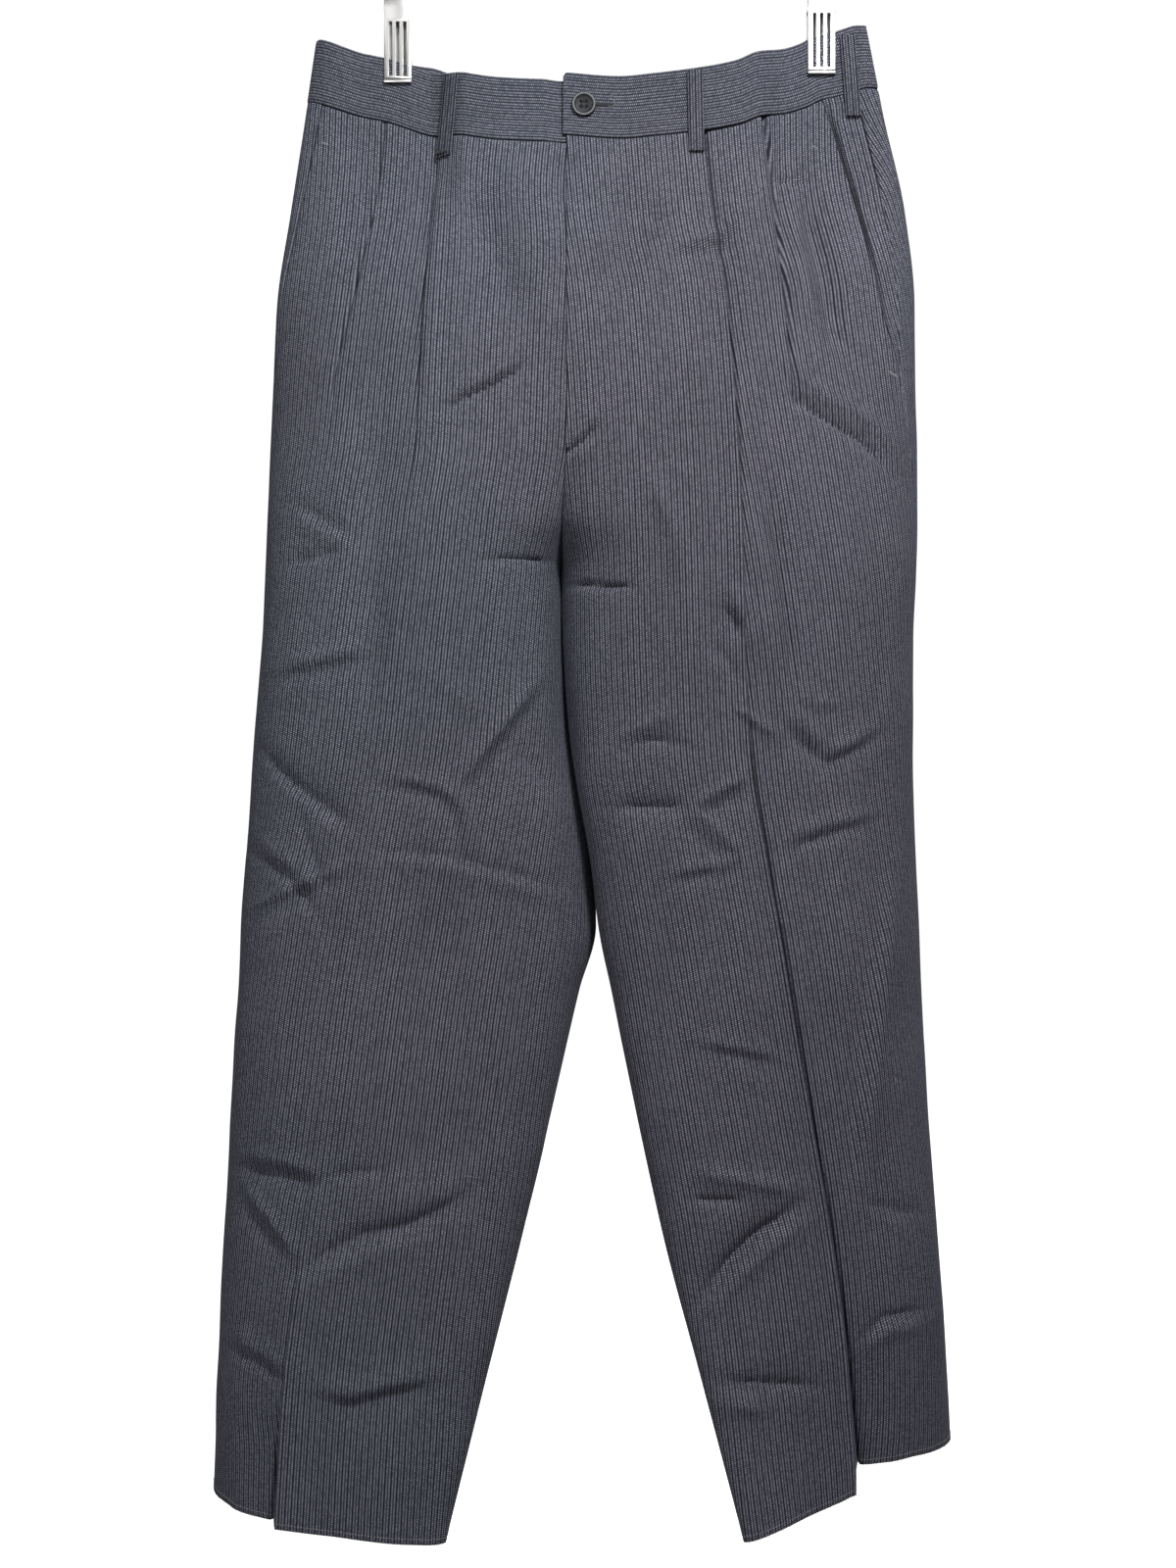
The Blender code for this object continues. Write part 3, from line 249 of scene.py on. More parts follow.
# Folds: width, depth, sharpness from 0 for a soft trough to 1 for a crease, and the line that
# the fold follows as x, drop.  A ridge has a negative depth.  These are the largest ones.
MAIN_FOLDS = (
    # right front, from the waist down
    (13, 4.0, 0, ((-94, 30), (-81, 62), (-66, 106), (-54, 132))),
    (13, 3.5, 0, ((-148, 160), (-150, 270), (-151, 375))),
    (11, -3.5, 0, ((-90, 228), (-112, 262), (-125, 300), (-134, 365))),
    (10, 3.5, 0, ((-225, 405), (-205, 425), (-158, 455))),
    (10, -3.5, 0, ((-45, 358), (-63, 385), (-98, 428))),
    (10, -3.0, 0, ((-98, 465), (-112, 490), (-122, 524))),
    (10, 4.0, 0, ((-238, 668), (-210, 672), (-180, 680))),
    (11, 4.0, 0, ((-198, 735), (-158, 712), (-122, 705), (-100, 692), (-78, 676))),
    (10, 3.0, 0, ((-186, 815), (-161, 819), (-137, 813), (-107, 807))),
    # left front
    (11, 5.5, 0, ((123, 24), (128, 62), (136, 101), (142, 135), (152, 160))),
    (8, 1.0, 0, ((106, 158), (118, 183), (137, 196), (159, 210), (183, 236))),
    (13, 3.5, 0, ((26, 57), (10, 81), (-5, 108))),
    (11, -3.0, 0, ((20, 222), (42, 268), (45, 302))),
    (9, 3.5, 0, ((68, 312), (80, 335), (85, 364))),
    (9, 3.5, 0, ((100, 240), (107, 277), (112, 314), (117, 378))),
    (9, 4.0, 0, ((110, 388), (137, 413))),
    (9, 3.0, 0, ((-2, 441), (50, 439))),
    (13, -4.0, 0, ((180, 475), (174, 525), (168, 580), (162, 640), (158, 690))),
    (11, 5.0, 0, ((122, 690), (91, 711), (72, 728), (54, 753))),
    (10, 3.0, 0, ((66, 803), (134, 806))),
)
BACK_FOLDS = (
    # right back
    (14, 4.5, 0, ((-60, 150), (-100, 215), (-160, 262))),
    (12, 4.0, 0, ((-40, 250), (-85, 288), (-150, 300), (-210, 282))),
    (12, 4.0, 0, ((-215, 452), (-160, 474), (-90, 462))),
    (11, -3.0, 0, ((-205, 500), (-150, 522), (-100, 510))),
    (11, 3.5, 0, ((-225, 700), (-170, 722), (-100, 704))),
    # left back
    (14, 4.5, 0, ((0, 155), (48, 210), (110, 258))),
    (12, 4.0, 0, ((-22, 258), (30, 292), (95, 306), (175, 280))),
    (12, 4.0, 0, ((30, 470), (95, 486), (175, 458))),
    (11, -3.0, 0, ((45, 520), (105, 532), (165, 512))),
    (11, 3.5, 0, ((75, 718), (130, 736), (195, 708))),
)
FOLD_FADE_TOP = (8.0, 45.0)

# The finer creases of the fronts.
FINE_FOLDS = (
    # right front: the pleats and the belly
    (5, 1.2, 0.3, ((-120, 6), (-122, 48), (-124, 100), (-125, 147), (-127, 198))),
    (4, -1.0, 0.2, ((-109, 8), (-111, 50), (-112, 100), (-115, 147), (-118, 198))),
    (5, 1.0, 0.3, ((-154, -2), (-159, 36), (-165, 69), (-166, 100), (-173, 126), (-178, 150))),
    (4, -0.9, 0.2, ((-146, 6), (-150, 40), (-154, 70), (-157, 102), (-164, 128), (-168, 158))),
    (3.5, 2.6, 0.8, ((-109, 192), (-95, 183), (-77, 174), (-61, 165), (-47, 154))),
    (5, -1.0, 0.3, ((-107, 182), (-90, 171), (-71, 164), (-52, 147))),
    (16, 2.2, 0, ((-97, 32), (-84, 68), (-68, 114), (-55, 141))),
    # the thigh and the crotch
    (14, 1.6, 0, ((-150, 165), (-150, 228), (-150, 303), (-153, 376))),
    (6, 1.6, 0.3, ((-86, 230), (-100, 243), (-112, 261), (-119, 285), (-127, 310), (-131, 340),
        (-135, 364))),
    (5, -1.3, 0.3, ((-90, 228), (-104, 242), (-115, 260), (-122, 285), (-130, 309), (-135, 339),
        (-139, 364))),
    # the side, down to the knee
    (5, 1.3, 0.5, ((-202, 246), (-180, 260), (-160, 272))),
    (6, -0.9, 0.2, ((-201, 255), (-181, 268), (-162, 278))),
    (5, 1.2, 0.5, ((-209, 286), (-187, 282), (-166, 278))),
    (6, -1.4, 0.3, ((-212, 352), (-180, 345), (-149, 339))),
    (6, 1.0, 0.3, ((-212, 360), (-180, 354), (-148, 346))),
    (6, -0.9, 0.2, ((-125, 348), (-105, 363), (-77, 382))),
    # the knee
    (5, -1.8, 0.5, ((-46, 356), (-65, 382), (-77, 399), (-89, 416), (-101, 429))),
    (6, 1.2, 0.2, ((-40, 363), (-59, 388), (-72, 406), (-84, 424))),
    (6, 1.3, 0.3, ((-64, 399), (-47, 416), (-33, 436))),
    (5, -1.4, 0.4, ((-145, 418), (-123, 423), (-105, 428), (-93, 438), (-88, 456), (-84, 478))),
    (5, 1.3, 0.4, ((-146, 426), (-123, 430), (-108, 435), (-100, 446), (-95, 462), (-91, 482))),
    (5, -1.6, 0.5, ((-100, 460), (-106, 472), (-113, 489), (-119, 506), (-124, 525))),
    (6, 1.2, 0.2, ((-107, 464), (-113, 477), (-120, 492), (-126, 512))),
    (5, 1.6, 0.5, ((-226, 402), (-206, 423), (-180, 441), (-157, 458))),
    (6, -1.2, 0.2, ((-222, 412), (-205, 430), (-182, 448), (-162, 464))),
    (5, 1.4, 0.5, ((-197, 441), (-186, 476), (-178, 495), (-170, 516))),
    (5, 1.1, 0.5, ((-233, 468), (-206, 484), (-189, 502), (-176, 522))),
    (6, -1.3, 0.2, ((-226, 458), (-201, 476), (-182, 492), (-168, 506))),
    (5, -1.3, 0.5, ((-232, 506), (-199, 490), (-160, 474))),
    (6, 0.7, 0.2, ((-230, 513), (-196, 498), (-159, 482))),
    (5, 1.3, 0.5, ((-147, 468), (-126, 468), (-106, 470), (-64, 482), (-20, 496))),
    (6, -1.0, 0.2, ((-147, 476), (-126, 476), (-106, 477), (-66, 488), (-23, 502))),
    # the shin and the calf
    (5, 1.0, 0.5, ((-241, 670), (-208, 672), (-178, 678))),
    (6, -1.4, 0.2, ((-237, 662), (-206, 663), (-177, 670))),
    (5, -1.7, 0.5, ((-233, 681), (-213, 700), (-194, 722))),
    (6, 1.2, 0.2, ((-238, 688), (-220, 708), (-202, 729))),
    (5, 1.5, 0.5, ((-179, 672), (-159, 669), (-137, 668))),
    (15, -2.0, 0, ((-150, 688), (-119, 686), (-88, 676))),
    (6, 1.8, 0.4, ((-198, 734), (-180, 722), (-159, 710), (-126, 702), (-101, 690), (-79, 675))),
    (8, -1.6, 0.1, ((-195, 744), (-175, 730), (-155, 720), (-123, 712), (-98, 702))),
    # the hem
    (5, 1.5, 0.5, ((-243, 786), (-222, 790), (-202, 801))),
    (6, -1.2, 0.2, ((-239, 776), (-218, 782), (-199, 792))),
    (6, 1.3, 0.4, ((-186, 810), (-162, 814), (-138, 808), (-106, 802))),
    (7, -1.7, 0.1, ((-186, 801), (-162, 806), (-137, 800), (-106, 794))),
    (7, -0.8, 0, ((-198, 702), (-203, 764), (-206, 824), (-207, 878))),
    # the fly's end, and the left front's hip
    (4, 3.0, 0.8, ((-30, 217), (-24, 214), (-19, 210), (-11, 202), (-7, 198))),
    (4, -1.2, 0.3, ((-26, 222), (-16, 216), (-9, 210))),
    (4, 1.3, 0.6, ((23, 57), (30, 60), (39, 58))),
    (9, 1.6, 0.1, ((26, 62), (17, 75), (10, 87), (1, 102), (-4, 116))),
    (6, -1.7, 0.4, ((34, 80), (51, 78), (70, 72), (83, 62), (94, 48))),
    (6, 1.2, 0.2, ((36, 88), (53, 87), (73, 81), (87, 70))),
    (14, 1.4, 0, ((-13, 114), (11, 81), (42, 57))),
    # left front: the pleats and the pocket
    (5, 1.2, 0.3, ((68, 21), (71, 48), (76, 87), (81, 132), (84, 176), (86, 204))),
    (4, -1.0, 0.2, ((56, 26), (59, 52), (65, 88), (72, 132), (75, 176), (77, 204))),
    (5, 1.1, 0.3, ((108, -6), (111, 27), (115, 69), (115, 123), (117, 158))),
    (4, -0.9, 0.2, ((98, -2), (101, 30), (104, 72), (104, 124), (106, 158))),
    (9, 3.6, 0.2, ((129, 20), (132, 62), (140, 105), (145, 138), (154, 159))),
    (7, -1.8, 0.2, ((119, 26), (123, 66), (129, 108), (135, 141))),
    (3.8, 2.4, 0.8, ((106, 158), (111, 170), (119, 183), (138, 195), (160, 207), (186, 231))),
    (6, -2.0, 0.3, ((114, 156), (119, 166), (127, 174), (146, 184), (168, 196), (188, 216))),
    # the thigh
    (6, -1.5, 0.4, ((20, 222), (31, 244), (42, 268), (44, 286), (46, 303))),
    (7, 1.2, 0.1, ((29, 222), (40, 244), (50, 268), (53, 297))),
    (5, 2.0, 0.6, ((69, 312), (76, 322), (83, 334))),
    (5, 1.9, 0.6, ((60, 333), (73, 348), (85, 366))),
    (6, -1.5, 0.2, ((74, 303), (82, 316), (87, 330), (89, 346))),
    (4, 2.0, 0.6, ((98, 240), (102, 260), (106, 278), (111, 315), (114, 345), (116, 376))),
    (7, -1.8, 0.1, ((91, 244), (94, 278), (99, 315), (102, 363))),
    # the star of creases at the knee
    (5, 1.6, 0.6, ((8, 405), (18, 400), (27, 398), (41, 400), (55, 405))),
    (5, -1.3, 0.2, ((8, 394), (25, 387), (45, 381))),
    (4, -2.0, 0.6, ((75, 376), (81, 380), (88, 384), (100, 392), (108, 396))),
    (5, 1.5, 0.6, ((-2, 441), (24, 440), (51, 440))),
    (5, -1.6, 0.6, ((50, 440), (69, 429), (87, 418))),
    (6, 1.4, 0.2, ((55, 447), (73, 438), (88, 429))),
    (5, -1.5, 0.6, ((49, 440), (67, 454), (83, 470))),
    (6, 1.2, 0.2, ((44, 448), (59, 464), (74, 476))),
    (5, -1.2, 0.4, ((34, 482), (57, 477), (80, 474))),
    (5, 1.0, 0.3, ((34, 489), (57, 484), (80, 482))),
    # the outer side of the knee and the shin
    (5, 1.7, 0.5, ((108, 387), (122, 402), (136, 414), (155, 405), (175, 393))),
    (6, -1.5, 0.2, ((112, 381), (126, 393), (137, 405), (154, 398), (171, 386))),
    (5, -1.3, 0.4, ((117, 370), (132, 374), (147, 375))),
    (5, 1.5, 0.5, ((107, 470), (121, 464), (135, 459), (151, 454), (170, 450))),
    (6, -1.3, 0.2, ((109, 460), (122, 454), (137, 450), (152, 447), (170, 442))),
    (8, -1.6, 0.1, ((183, 476), (176, 525), (169, 582), (163, 644), (159, 693))),
    (9, 1.4, 0, ((173, 482), (166, 531), (159, 588), (153, 644), (150, 693))),
    # the shin and the calf
    (5, -1.3, 0.4, ((54, 586), (82, 591), (108, 597))),
    (5, 1.0, 0.3, ((54, 594), (82, 598), (108, 604))),
    (6, -1.9, 0.3, ((48, 670), (83, 675), (121, 682))),
    (4, 1.8, 0.6, ((48, 687), (67, 688), (85, 688))),
    (5, 2.8, 0.6, ((121, 690), (107, 700), (90, 711), (73, 728), (64, 740), (54, 754))),
    (7, -2.2, 0.2, ((125, 700), (110, 710), (96, 720), (79, 738), (67, 756))),
    # the hem
    (5, 1.8, 0.6, ((66, 801), (99, 804), (135, 808))),
    (6, -1.9, 0.2, ((69, 813), (82, 816), (98, 820))),
    (5, 1.5, 0.5, ((161, 780), (177, 768), (206, 766))),
    (6, -1.2, 0.2, ((162, 789), (178, 777), (205, 776))),
    (5, 1.2, 0.4, ((159, 692), (181, 698), (206, 706))),
    # the waist, short creases at the middle, and the pressed crease
    (15, 1.9, 0, ((-14, 50), (15, 54), (48, 50))),
    (3, 1.5, 0.8, ((-88, 286), (-70, 284), (-53, 284), (-34, 282))),
    (4, 2.2, 0.8, ((-27, 297), (-4, 300), (19, 302))),
    (4, 1.3, 0.5, ((83, 385), (94, 480), (108, 560), (122, 640), (136, 720), (146, 800),
        (154, 886))),
    (6, -0.8, 0.2, ((95, 385), (107, 480), (121, 560), (135, 640), (149, 720), (159, 800),
        (167, 886))),
    (4, 1.7, 0.8, ((110, 28), (121, 30), (133, 24))),
)
FINE_FADE_TOP = (2.0, 14.0)
MIRROR_LINE = -16.0         # the backs' creases are the fronts' ones, turned over this line
BACK_SHARE = 0.85
BACK_WIDER = 1.15
BACK_SOFTER = 0.7
BACK_SHIFT = 9.0

# Cloth that a front's pleats hide: its width, and the drops over which it comes out.
HIDDEN_INTAKE = {"right": (8.0, 40.0, 240.0), "left": (26.0, 120.0, 420.0)}


# ---------------------------------------------------------------- curves through tables
def smoothstep(low, high, value):
    """0 under low and 1 over high, with a soft step between."""
    t = np.clip((np.asarray(value, float) - low) / (high - low), 0.0, 1.0)
    return t * t * (3.0 - 2.0 * t)


def between(first, last, share):
    """The value this share of the way from the first to the last."""
    return first + (last - first) * share


class Curve:
    """A smooth curve through a table's points that never overshoots them."""

    def __init__(self, xs, ys):
        self.x = np.array(xs, float)
        self.y = np.array(ys, float)
        step = np.diff(self.x)
        secant = np.diff(self.y) / step
        self.slope = np.zeros(len(self.x))
        before, after = secant[:-1], secant[1:]
        same = before * after > 0.0
        total = np.where(same, before + after, 1.0)
        self.slope[1:-1] = np.where(same, 2.0 * before * after / total, 0.0)
        self.slope[0], self.slope[-1] = secant[0], secant[-1]

    def __call__(self, value):
        value = np.clip(np.asarray(value, float), self.x[0], self.x[-1])
        i = np.clip(np.searchsorted(self.x, value) - 1, 0, len(self.x) - 2)
        step = self.x[i + 1] - self.x[i]
        t = (value - self.x[i]) / step
        rise = t * t * (3.0 - 2.0 * t)
        lead = t * (1.0 - t) ** 2 * step * self.slope[i]
        tail = t * t * (t - 1.0) * step * self.slope[i + 1]
        return self.y[i] + (self.y[i + 1] - self.y[i]) * rise + lead + tail


def curves(names, rows):
    table = np.array(rows, float)
    return {name: Curve(table[:, 0], table[:, i]) for i, name in enumerate(names) if i}


def line_curve(points):
    return Curve([p[0] for p in points], [p[1] for p in points])


def unit(vectors):
    return vectors / np.linalg.norm(vectors, axis=-1, keepdims=True)


def edge_share(run):
    """0 over most of a section, rising to 1 at its inner edge."""
    return np.clip((run - LAST_RUN) / (1.0 - LAST_RUN), 0.0, 1.0)


# ---------------------------------------------------------------- the form of the cloth
class Leg:
    """One half of the trousers: its sections, lines and edges.  sign is -1 on the right."""

    def __init__(self, name, sign, rows, lanes, waist, back_waist, hem):
        self.name = name
        self.sign = sign
        self.at = curves(COLUMNS, rows)
        self.lane = curves(LANES, lanes)
        self.front_waist = line_curve(waist)
        self.back_waist = line_curve(back_waist)
        self.hem = hem

    def overlap(self, run, drop, band):
        """How far the front's inner edge goes past its section."""
        if band:
            reach = BAND_UNDERLAP if self.sign < 0 else -BAND_OVERHANG
        else:
            sewn = smoothstep(*FLY_SHUT, drop)
            reach = FLY_UNDERLAP * (1.0 - sewn) if self.sign < 0 else 0.0
            reach = reach - self.sign * SEAM_CLOSE * sewn * (1.0 - smoothstep(*LEGS_PART, drop))
        return reach * edge_share(run)

    def face(self, inward, turn, drop, band=False):
        """A point of the section: turn runs from 0 at the front crease over 1 at the side to 2
        at the back crease, on the inner or the outer half."""
        turn = np.asarray(turn, float)
        drop = np.asarray(drop, float)
        at = {name: curve(drop) for name, curve in self.at.items()}
        front = turn <= 1.0
        angle = np.where(front, turn, 2.0 - turn) * math.pi / 2.0
        run = np.clip(np.sin(angle), 0.0, 1.0)
        mid_x = np.where(front, at["crease_x"], at["back_x"])
        mid_y = np.where(front, at["front"], at["back"])
        if inward:
            side_x = at["inner_x"]
            side_y = at["inner_y"] + np.where(front, 0.0, at["inner_span"])
            shoulder = np.where(front, at["inner_front"], at["inner_back"])
            lap = np.zeros_like(run)
            closed = BACK_CLOSE * edge_share(run) * (1.0 - smoothstep(*LEGS_PART, drop))
            past = np.where(front, self.overlap(run, drop, band), -self.sign * closed)
        else:
            side_x = at["outer_x"]
            side_y = at["outer_y"]
            shoulder = np.where(front, at["outer_front"], at["outer_back"])
            lap = np.where(front & (not band), self.lap(run, drop, at), 0.0)
            past = np.zeros_like(run)
        corner = 1.0 - (1.0 - run ** ROUNDNESS) ** (1.0 / ROUNDNESS)
        x = mid_x + (side_x - mid_x) * run + past
        y = mid_y + lap + (shoulder - mid_y) * run + (side_y - shoulder) * corner
        if self.sign < 0 and inward:
            y = y + np.where(front, self.recess(x, drop, band), 0.0)
        return self.pinch(x, y, drop, front)

    def lap(self, run, drop, at):
        """How far the face lies back beside the crease and past the second pleat."""
        first = at["lap"] * (1.0 - run) ** 3
        if self.sign < 0:
            shows = smoothstep(*LAP_FADE_HEM, drop) + 1.0 - smoothstep(*LAP_FADE_TOP, drop)
            first = first * (LAP_SHARE + (1.0 - LAP_SHARE) * shows)
        past = (run - self.lane["pleat"](drop)) * np.abs(at["outer_x"] - at["crease_x"])
        depth = PLEAT_INTAKE_2 * (1.0 - smoothstep(*PLEAT_FADE_2, drop))
        return first + np.where(past > 0.0, depth * np.exp(-np.abs(past) / PLEAT_RETURN), 0.0)

    def recess(self, x, drop, band):
        """How far the right half goes back under the left one at the front."""
        if band:
            return BAND_RECESS * smoothstep(*BAND_STEP, x)
        return FLY_RECESS * smoothstep(*FLY_STEP, x) * (1.0 - smoothstep(*FLY_STEP_END, drop))

    def pinch(self, x, y, drop, front):
        """Press the face together where a clip holds it."""
        near = 1.0 - smoothstep(PINCH_FLAT, PINCH_FLAT + PINCH_FADE, np.abs(np.abs(x) - CLIP_X))
        near = near * (1.0 - smoothstep(PINCH_TOP, PINCH_END, drop))
        level = np.where(front, -CLIP_PINCH, CLIP_PINCH)
        return x, y * (1.0 - near) + level * near

    def point(self, inward, turn, drop, band=False):
        x, y = self.face(inward, turn, drop, band)
        return np.stack([x, y, WAIST_LEVEL - drop + 0.0 * x], axis=-1)

    def normal(self, inward, turn, drop, low=None, high=None, band=False):
        """The outward normal; low and high keep the measured stretch on one face."""
        reach = 0.02
        first = np.asarray(turn, float) - reach
        last = np.asarray(turn, float) + reach
        first = first if low is None else np.maximum(first, low)
        last = last if high is None else np.minimum(last, high)
        step = 2.0
        round_it = self.point(inward, last, drop, band) - self.point(inward, first, drop, band)
        down = (self.point(inward, turn, drop + step, band)
                - self.point(inward, turn, drop - step, band))
        return unit(np.cross(round_it, down) * (self.sign if inward else -self.sign))

    def waist(self, inward, turn):
        """Drop of the waist seam at each turn of the section."""
        turn = np.asarray(turn, float)
        x = self.face(inward, turn, np.zeros_like(turn), True)[0]
        return np.where(turn <= 1.0, self.front_waist(x), self.back_waist(x))


RIGHT = Leg("right", -1, RIGHT_LEG, RIGHT_LANES, RIGHT_WAIST, RIGHT_BACK_WAIST, RIGHT_HEM)
LEFT = Leg("left", 1, LEFT_LEG, LEFT_LANES, LEFT_WAIST, LEFT_BACK_WAIST, LEFT_HEM)
LEGS = (RIGHT, LEFT)


# ---------------------------------------------------------------- folds
def line_distance(points, x, drop):
    """Distance from each place to a line of points, and how far along the line it lies."""
    line = np.array(points, float)
    lengths = np.linalg.norm(np.diff(line, axis=0), axis=1)
    begins = np.concatenate([[0.0], np.cumsum(lengths)])
    nearest = np.full(np.shape(x), 1e9)
    along = np.zeros(np.shape(x))
    for start, end, length, begin in zip(line[:-1], line[1:], lengths, begins):
        step = (end - start) / length
        t = np.clip((x - start[0]) * step[0] + (drop - start[1]) * step[1], 0.0, length)
        gap = np.hypot(x - start[0] - t * step[0], drop - start[1] - t * step[1])
        closer = gap < nearest
        nearest = np.where(closer, gap, nearest)
        along = np.where(closer, (begin + t) / begins[-1], along)
    return nearest, along


def fold_depth(folds, x, drop, fade):
    """How far the folds push the cloth in at each place."""
    depth = np.zeros(np.shape(x))
    for width, amount, sharp, points in folds:
        width = width * (1.0 - CREASE_PRESS * sharp)
        gap, along = line_distance(points, x, drop)
        # A fold keeps a quarter of its depth at both ends.  A keen one falls away in a straight
        # line from a tip that is rounded over 0.7 mm.
        taper = smoothstep(0.0, 0.3, along) * (1.0 - smoothstep(0.7, 1.0, along))
        soft = np.exp(-(gap / width) ** 2)
        keen = np.exp((0.7 - np.sqrt(gap * gap + 0.49)) / (0.7 * width))
        shape = soft * (1.0 - sharp) + keen * sharp
        depth = depth + amount * (0.25 + 0.75 * taper) * shape
    return depth * smoothstep(*fade, drop)


def ripple(x, drop, seed):
    """A slight unevenness of hanging cloth, the same each time."""
    chance = np.random.RandomState(seed)
    depth = np.zeros(np.shape(x))
    for _ in range(RIPPLES):
        angle = chance.uniform(-0.5, 0.5) if chance.rand() < 0.7 else chance.uniform(0.5, 1.6)
        wave = chance.uniform(*RIPPLE_WAVES)
        phase = chance.uniform(0.0, FULL_TURN)
        across = x * math.cos(angle) + drop * math.sin(angle) * 0.6
        depth = depth + RIPPLE_SHARE * wave * np.sin(across * FULL_TURN / wave + phase)
    return depth


def turned_over(folds):
    """The fronts' fine folds on the backs: on the other leg, a little lower and softer."""
    return tuple((width * BACK_WIDER, amount * BACK_SHARE, sharp * BACK_SOFTER,
                  tuple((2.0 * MIRROR_LINE - x, drop + BACK_SHIFT) for x, drop in points))
                 for width, amount, sharp, points in folds)


FINE_BACK_FOLDS = turned_over(FINE_FOLDS)


def front_depth(x, drop):
    """How far a front is pushed in at each place."""
    return (MAIN_SHARE * fold_depth(MAIN_FOLDS, x, drop, FOLD_FADE_TOP)
            + CREASE_GAIN * fold_depth(FINE_FOLDS, x, drop, FINE_FADE_TOP)
            + ripple(x, drop, FRONT_SEED) * smoothstep(*FOLD_FADE_TOP, drop))


def back_depth(x, y, drop):
    """The same for a back, whose folds fade out round the side."""
    behind = smoothstep(0.0, 20.0, y)
    return behind * (fold_depth(BACK_FOLDS, x, drop, FOLD_FADE_TOP)
                     + CREASE_GAIN * fold_depth(FINE_BACK_FOLDS, x, drop, FOLD_FADE_TOP)
                     + ripple(x, drop, BACK_SEED) * smoothstep(*FOLD_FADE_TOP, drop))


# ---------------------------------------------------------------- grids of a panel
def turn_at(share):
    """The turn of a section at this share of the way from its crease to its side."""
    return np.arcsin(np.clip(share, 0.0, 1.0)) * 2.0 / math.pi


def rows_between(last):
    """Drops that every column passes, closer together at the waist and the hem."""
    middle = np.arange(4.0, last - 4.0, CELL)
    return np.concatenate([FIRST_ROWS, middle, [last - row for row in LAST_ROWS]])


SAMPLES = 401


def even_turns(leg, inward, start, stop, count, drops=(150.0, 450.0, 800.0), band=False):
    """Turns that part a stretch of the section about evenly, over a few drops together."""
    fine = np.linspace(start, stop, SAMPLES)
    reach = np.zeros(SAMPLES - 1)
    for drop in drops:
        x, y = leg.face(inward, fine, np.full(SAMPLES, drop), band)
        reach += np.hypot(np.diff(x), np.diff(y))
    total = np.concatenate([[0.0], np.cumsum(reach)])
    return np.interp(np.linspace(0.0, total[-1], count), total, fine)


def bend_rows(leg, nominal, turn_top, inward, hem):
    """Drops of the rows, bent to the waist line and the hem line."""
    top = leg.waist(inward, turn_top) + SEAM_GAP
    lift = top * (1.0 - smoothstep(0.0, WAIST_BLEND, nominal))
    fall = (hem - HEM_LEVEL) * smoothstep(HEM_BLEND, HEM_LEVEL, nominal)
    return nominal + lift + fall


class Grid:
    """The columns of one panel from waist to hem, with their drops and outward normals."""

    def __init__(self, leg, nominal):
        self.leg = leg
        self.nominal = nominal
        self.drops, self.points, self.normals = [], [], []
        self.rolls, self.grooves = [], []

    def sample(self, inward, turns, hem, low, high):
        turns = turns + 0.0 * self.nominal
        drop = bend_rows(self.leg, self.nominal, turns[0], inward, hem)
        return [drop, self.leg.point(inward, turns, drop),
                self.leg.normal(inward, turns, drop, low, high)]

    def put(self, column, roll=0.0, groove=0.0):
        for kept, new in zip((self.drops, self.points, self.normals), column):
            kept.append(new)
        self.rolls.append(roll)
        self.grooves.append(groove + 0.0 * self.nominal)

    def step(self, first, second, reach, count, groove):
        """A pressed edge: the second column lies behind the first, with cloth between, and
        the groove beside the edge is this deep."""
        depth = np.clip(second[1][:, 1] - first[1][:, 1], 0.0, STEP_DEEPEST)
        out = first[2] + second[2]
        out[:, 0] += 0.8 * self.leg.sign * np.clip(depth / 3.0, 0.0, 1.0)
        out = unit(out)
        shift = self.leg.sign * (reach + STEP_LEAN * depth)
        second[1][:, 0] += shift
        second[2] = unit(second[2] + 0.6 * out)
        self.put([first[0], first[1], unit(first[2] + 0.4 * out)], STEP_ROLL)
        for i in range(1, count + 1):
            t = i / (count + 1)
            bulge = math.sin(t * math.pi) * STEP_BULGE * np.clip(depth / 2.0, 0.0, 1.0)[:, None]
            middle = first[1] * (1.0 - t) + second[1] * t + out * bulge
            self.put([first[0] * (1.0 - t) + second[0] * t, middle, out], 0.0, groove * t)
        self.put(second, 0.0, groove)
        return shift

    def settle(self, column, shift, near):
        """Ease the columns after a pressed edge away from it, so that they don't cross it."""
        span = 3.2 * np.abs(shift) + 4.0
        column[1][:, 0] += shift * (1.0 - smoothstep(0.0, 1.0, near / span))
        return column

    def stacked(self):
        return (np.stack(self.drops, axis=1), np.stack(self.points, axis=1),
                np.stack(self.normals, axis=1))

    def panel(self, side, depth, flatness, across, finish):
        """Push the cloth in by its folds, roll its edges under and close it as a wall."""
        drop, points, normals = self.stacked()
        row_roll = np.zeros((len(self.nominal), 1))
        row_roll[:len(ROW_ROLL), 0] = ROW_ROLL
        depth = depth + np.maximum(np.array(self.rolls)[None, :] * flatness, row_roll)
        depth = depth + np.stack(self.grooves, axis=1)
        outside = points - normals * depth[..., None]
        name = f"{side}_{self.leg.name}"
        MADE[name] = {"outside": outside, "normals": normals}
        return wall_mesh(f"cloth_{name}", outside, outside - normals * WALL, across, drop, finish)


def edge_roll(distance):
    """How far a sewn edge rolls under at this distance from its end."""
    t = np.clip(1.0 - distance / ROLL_REACH, 0.0, 1.0)
    return ROLL_DEPTH * (1.0 - np.sqrt(1.0 - t * t))


def put_in_scene(name, data):
    made = bpy.data.objects.new(name, data)
    bpy.context.scene.collection.objects.link(made)
    return made


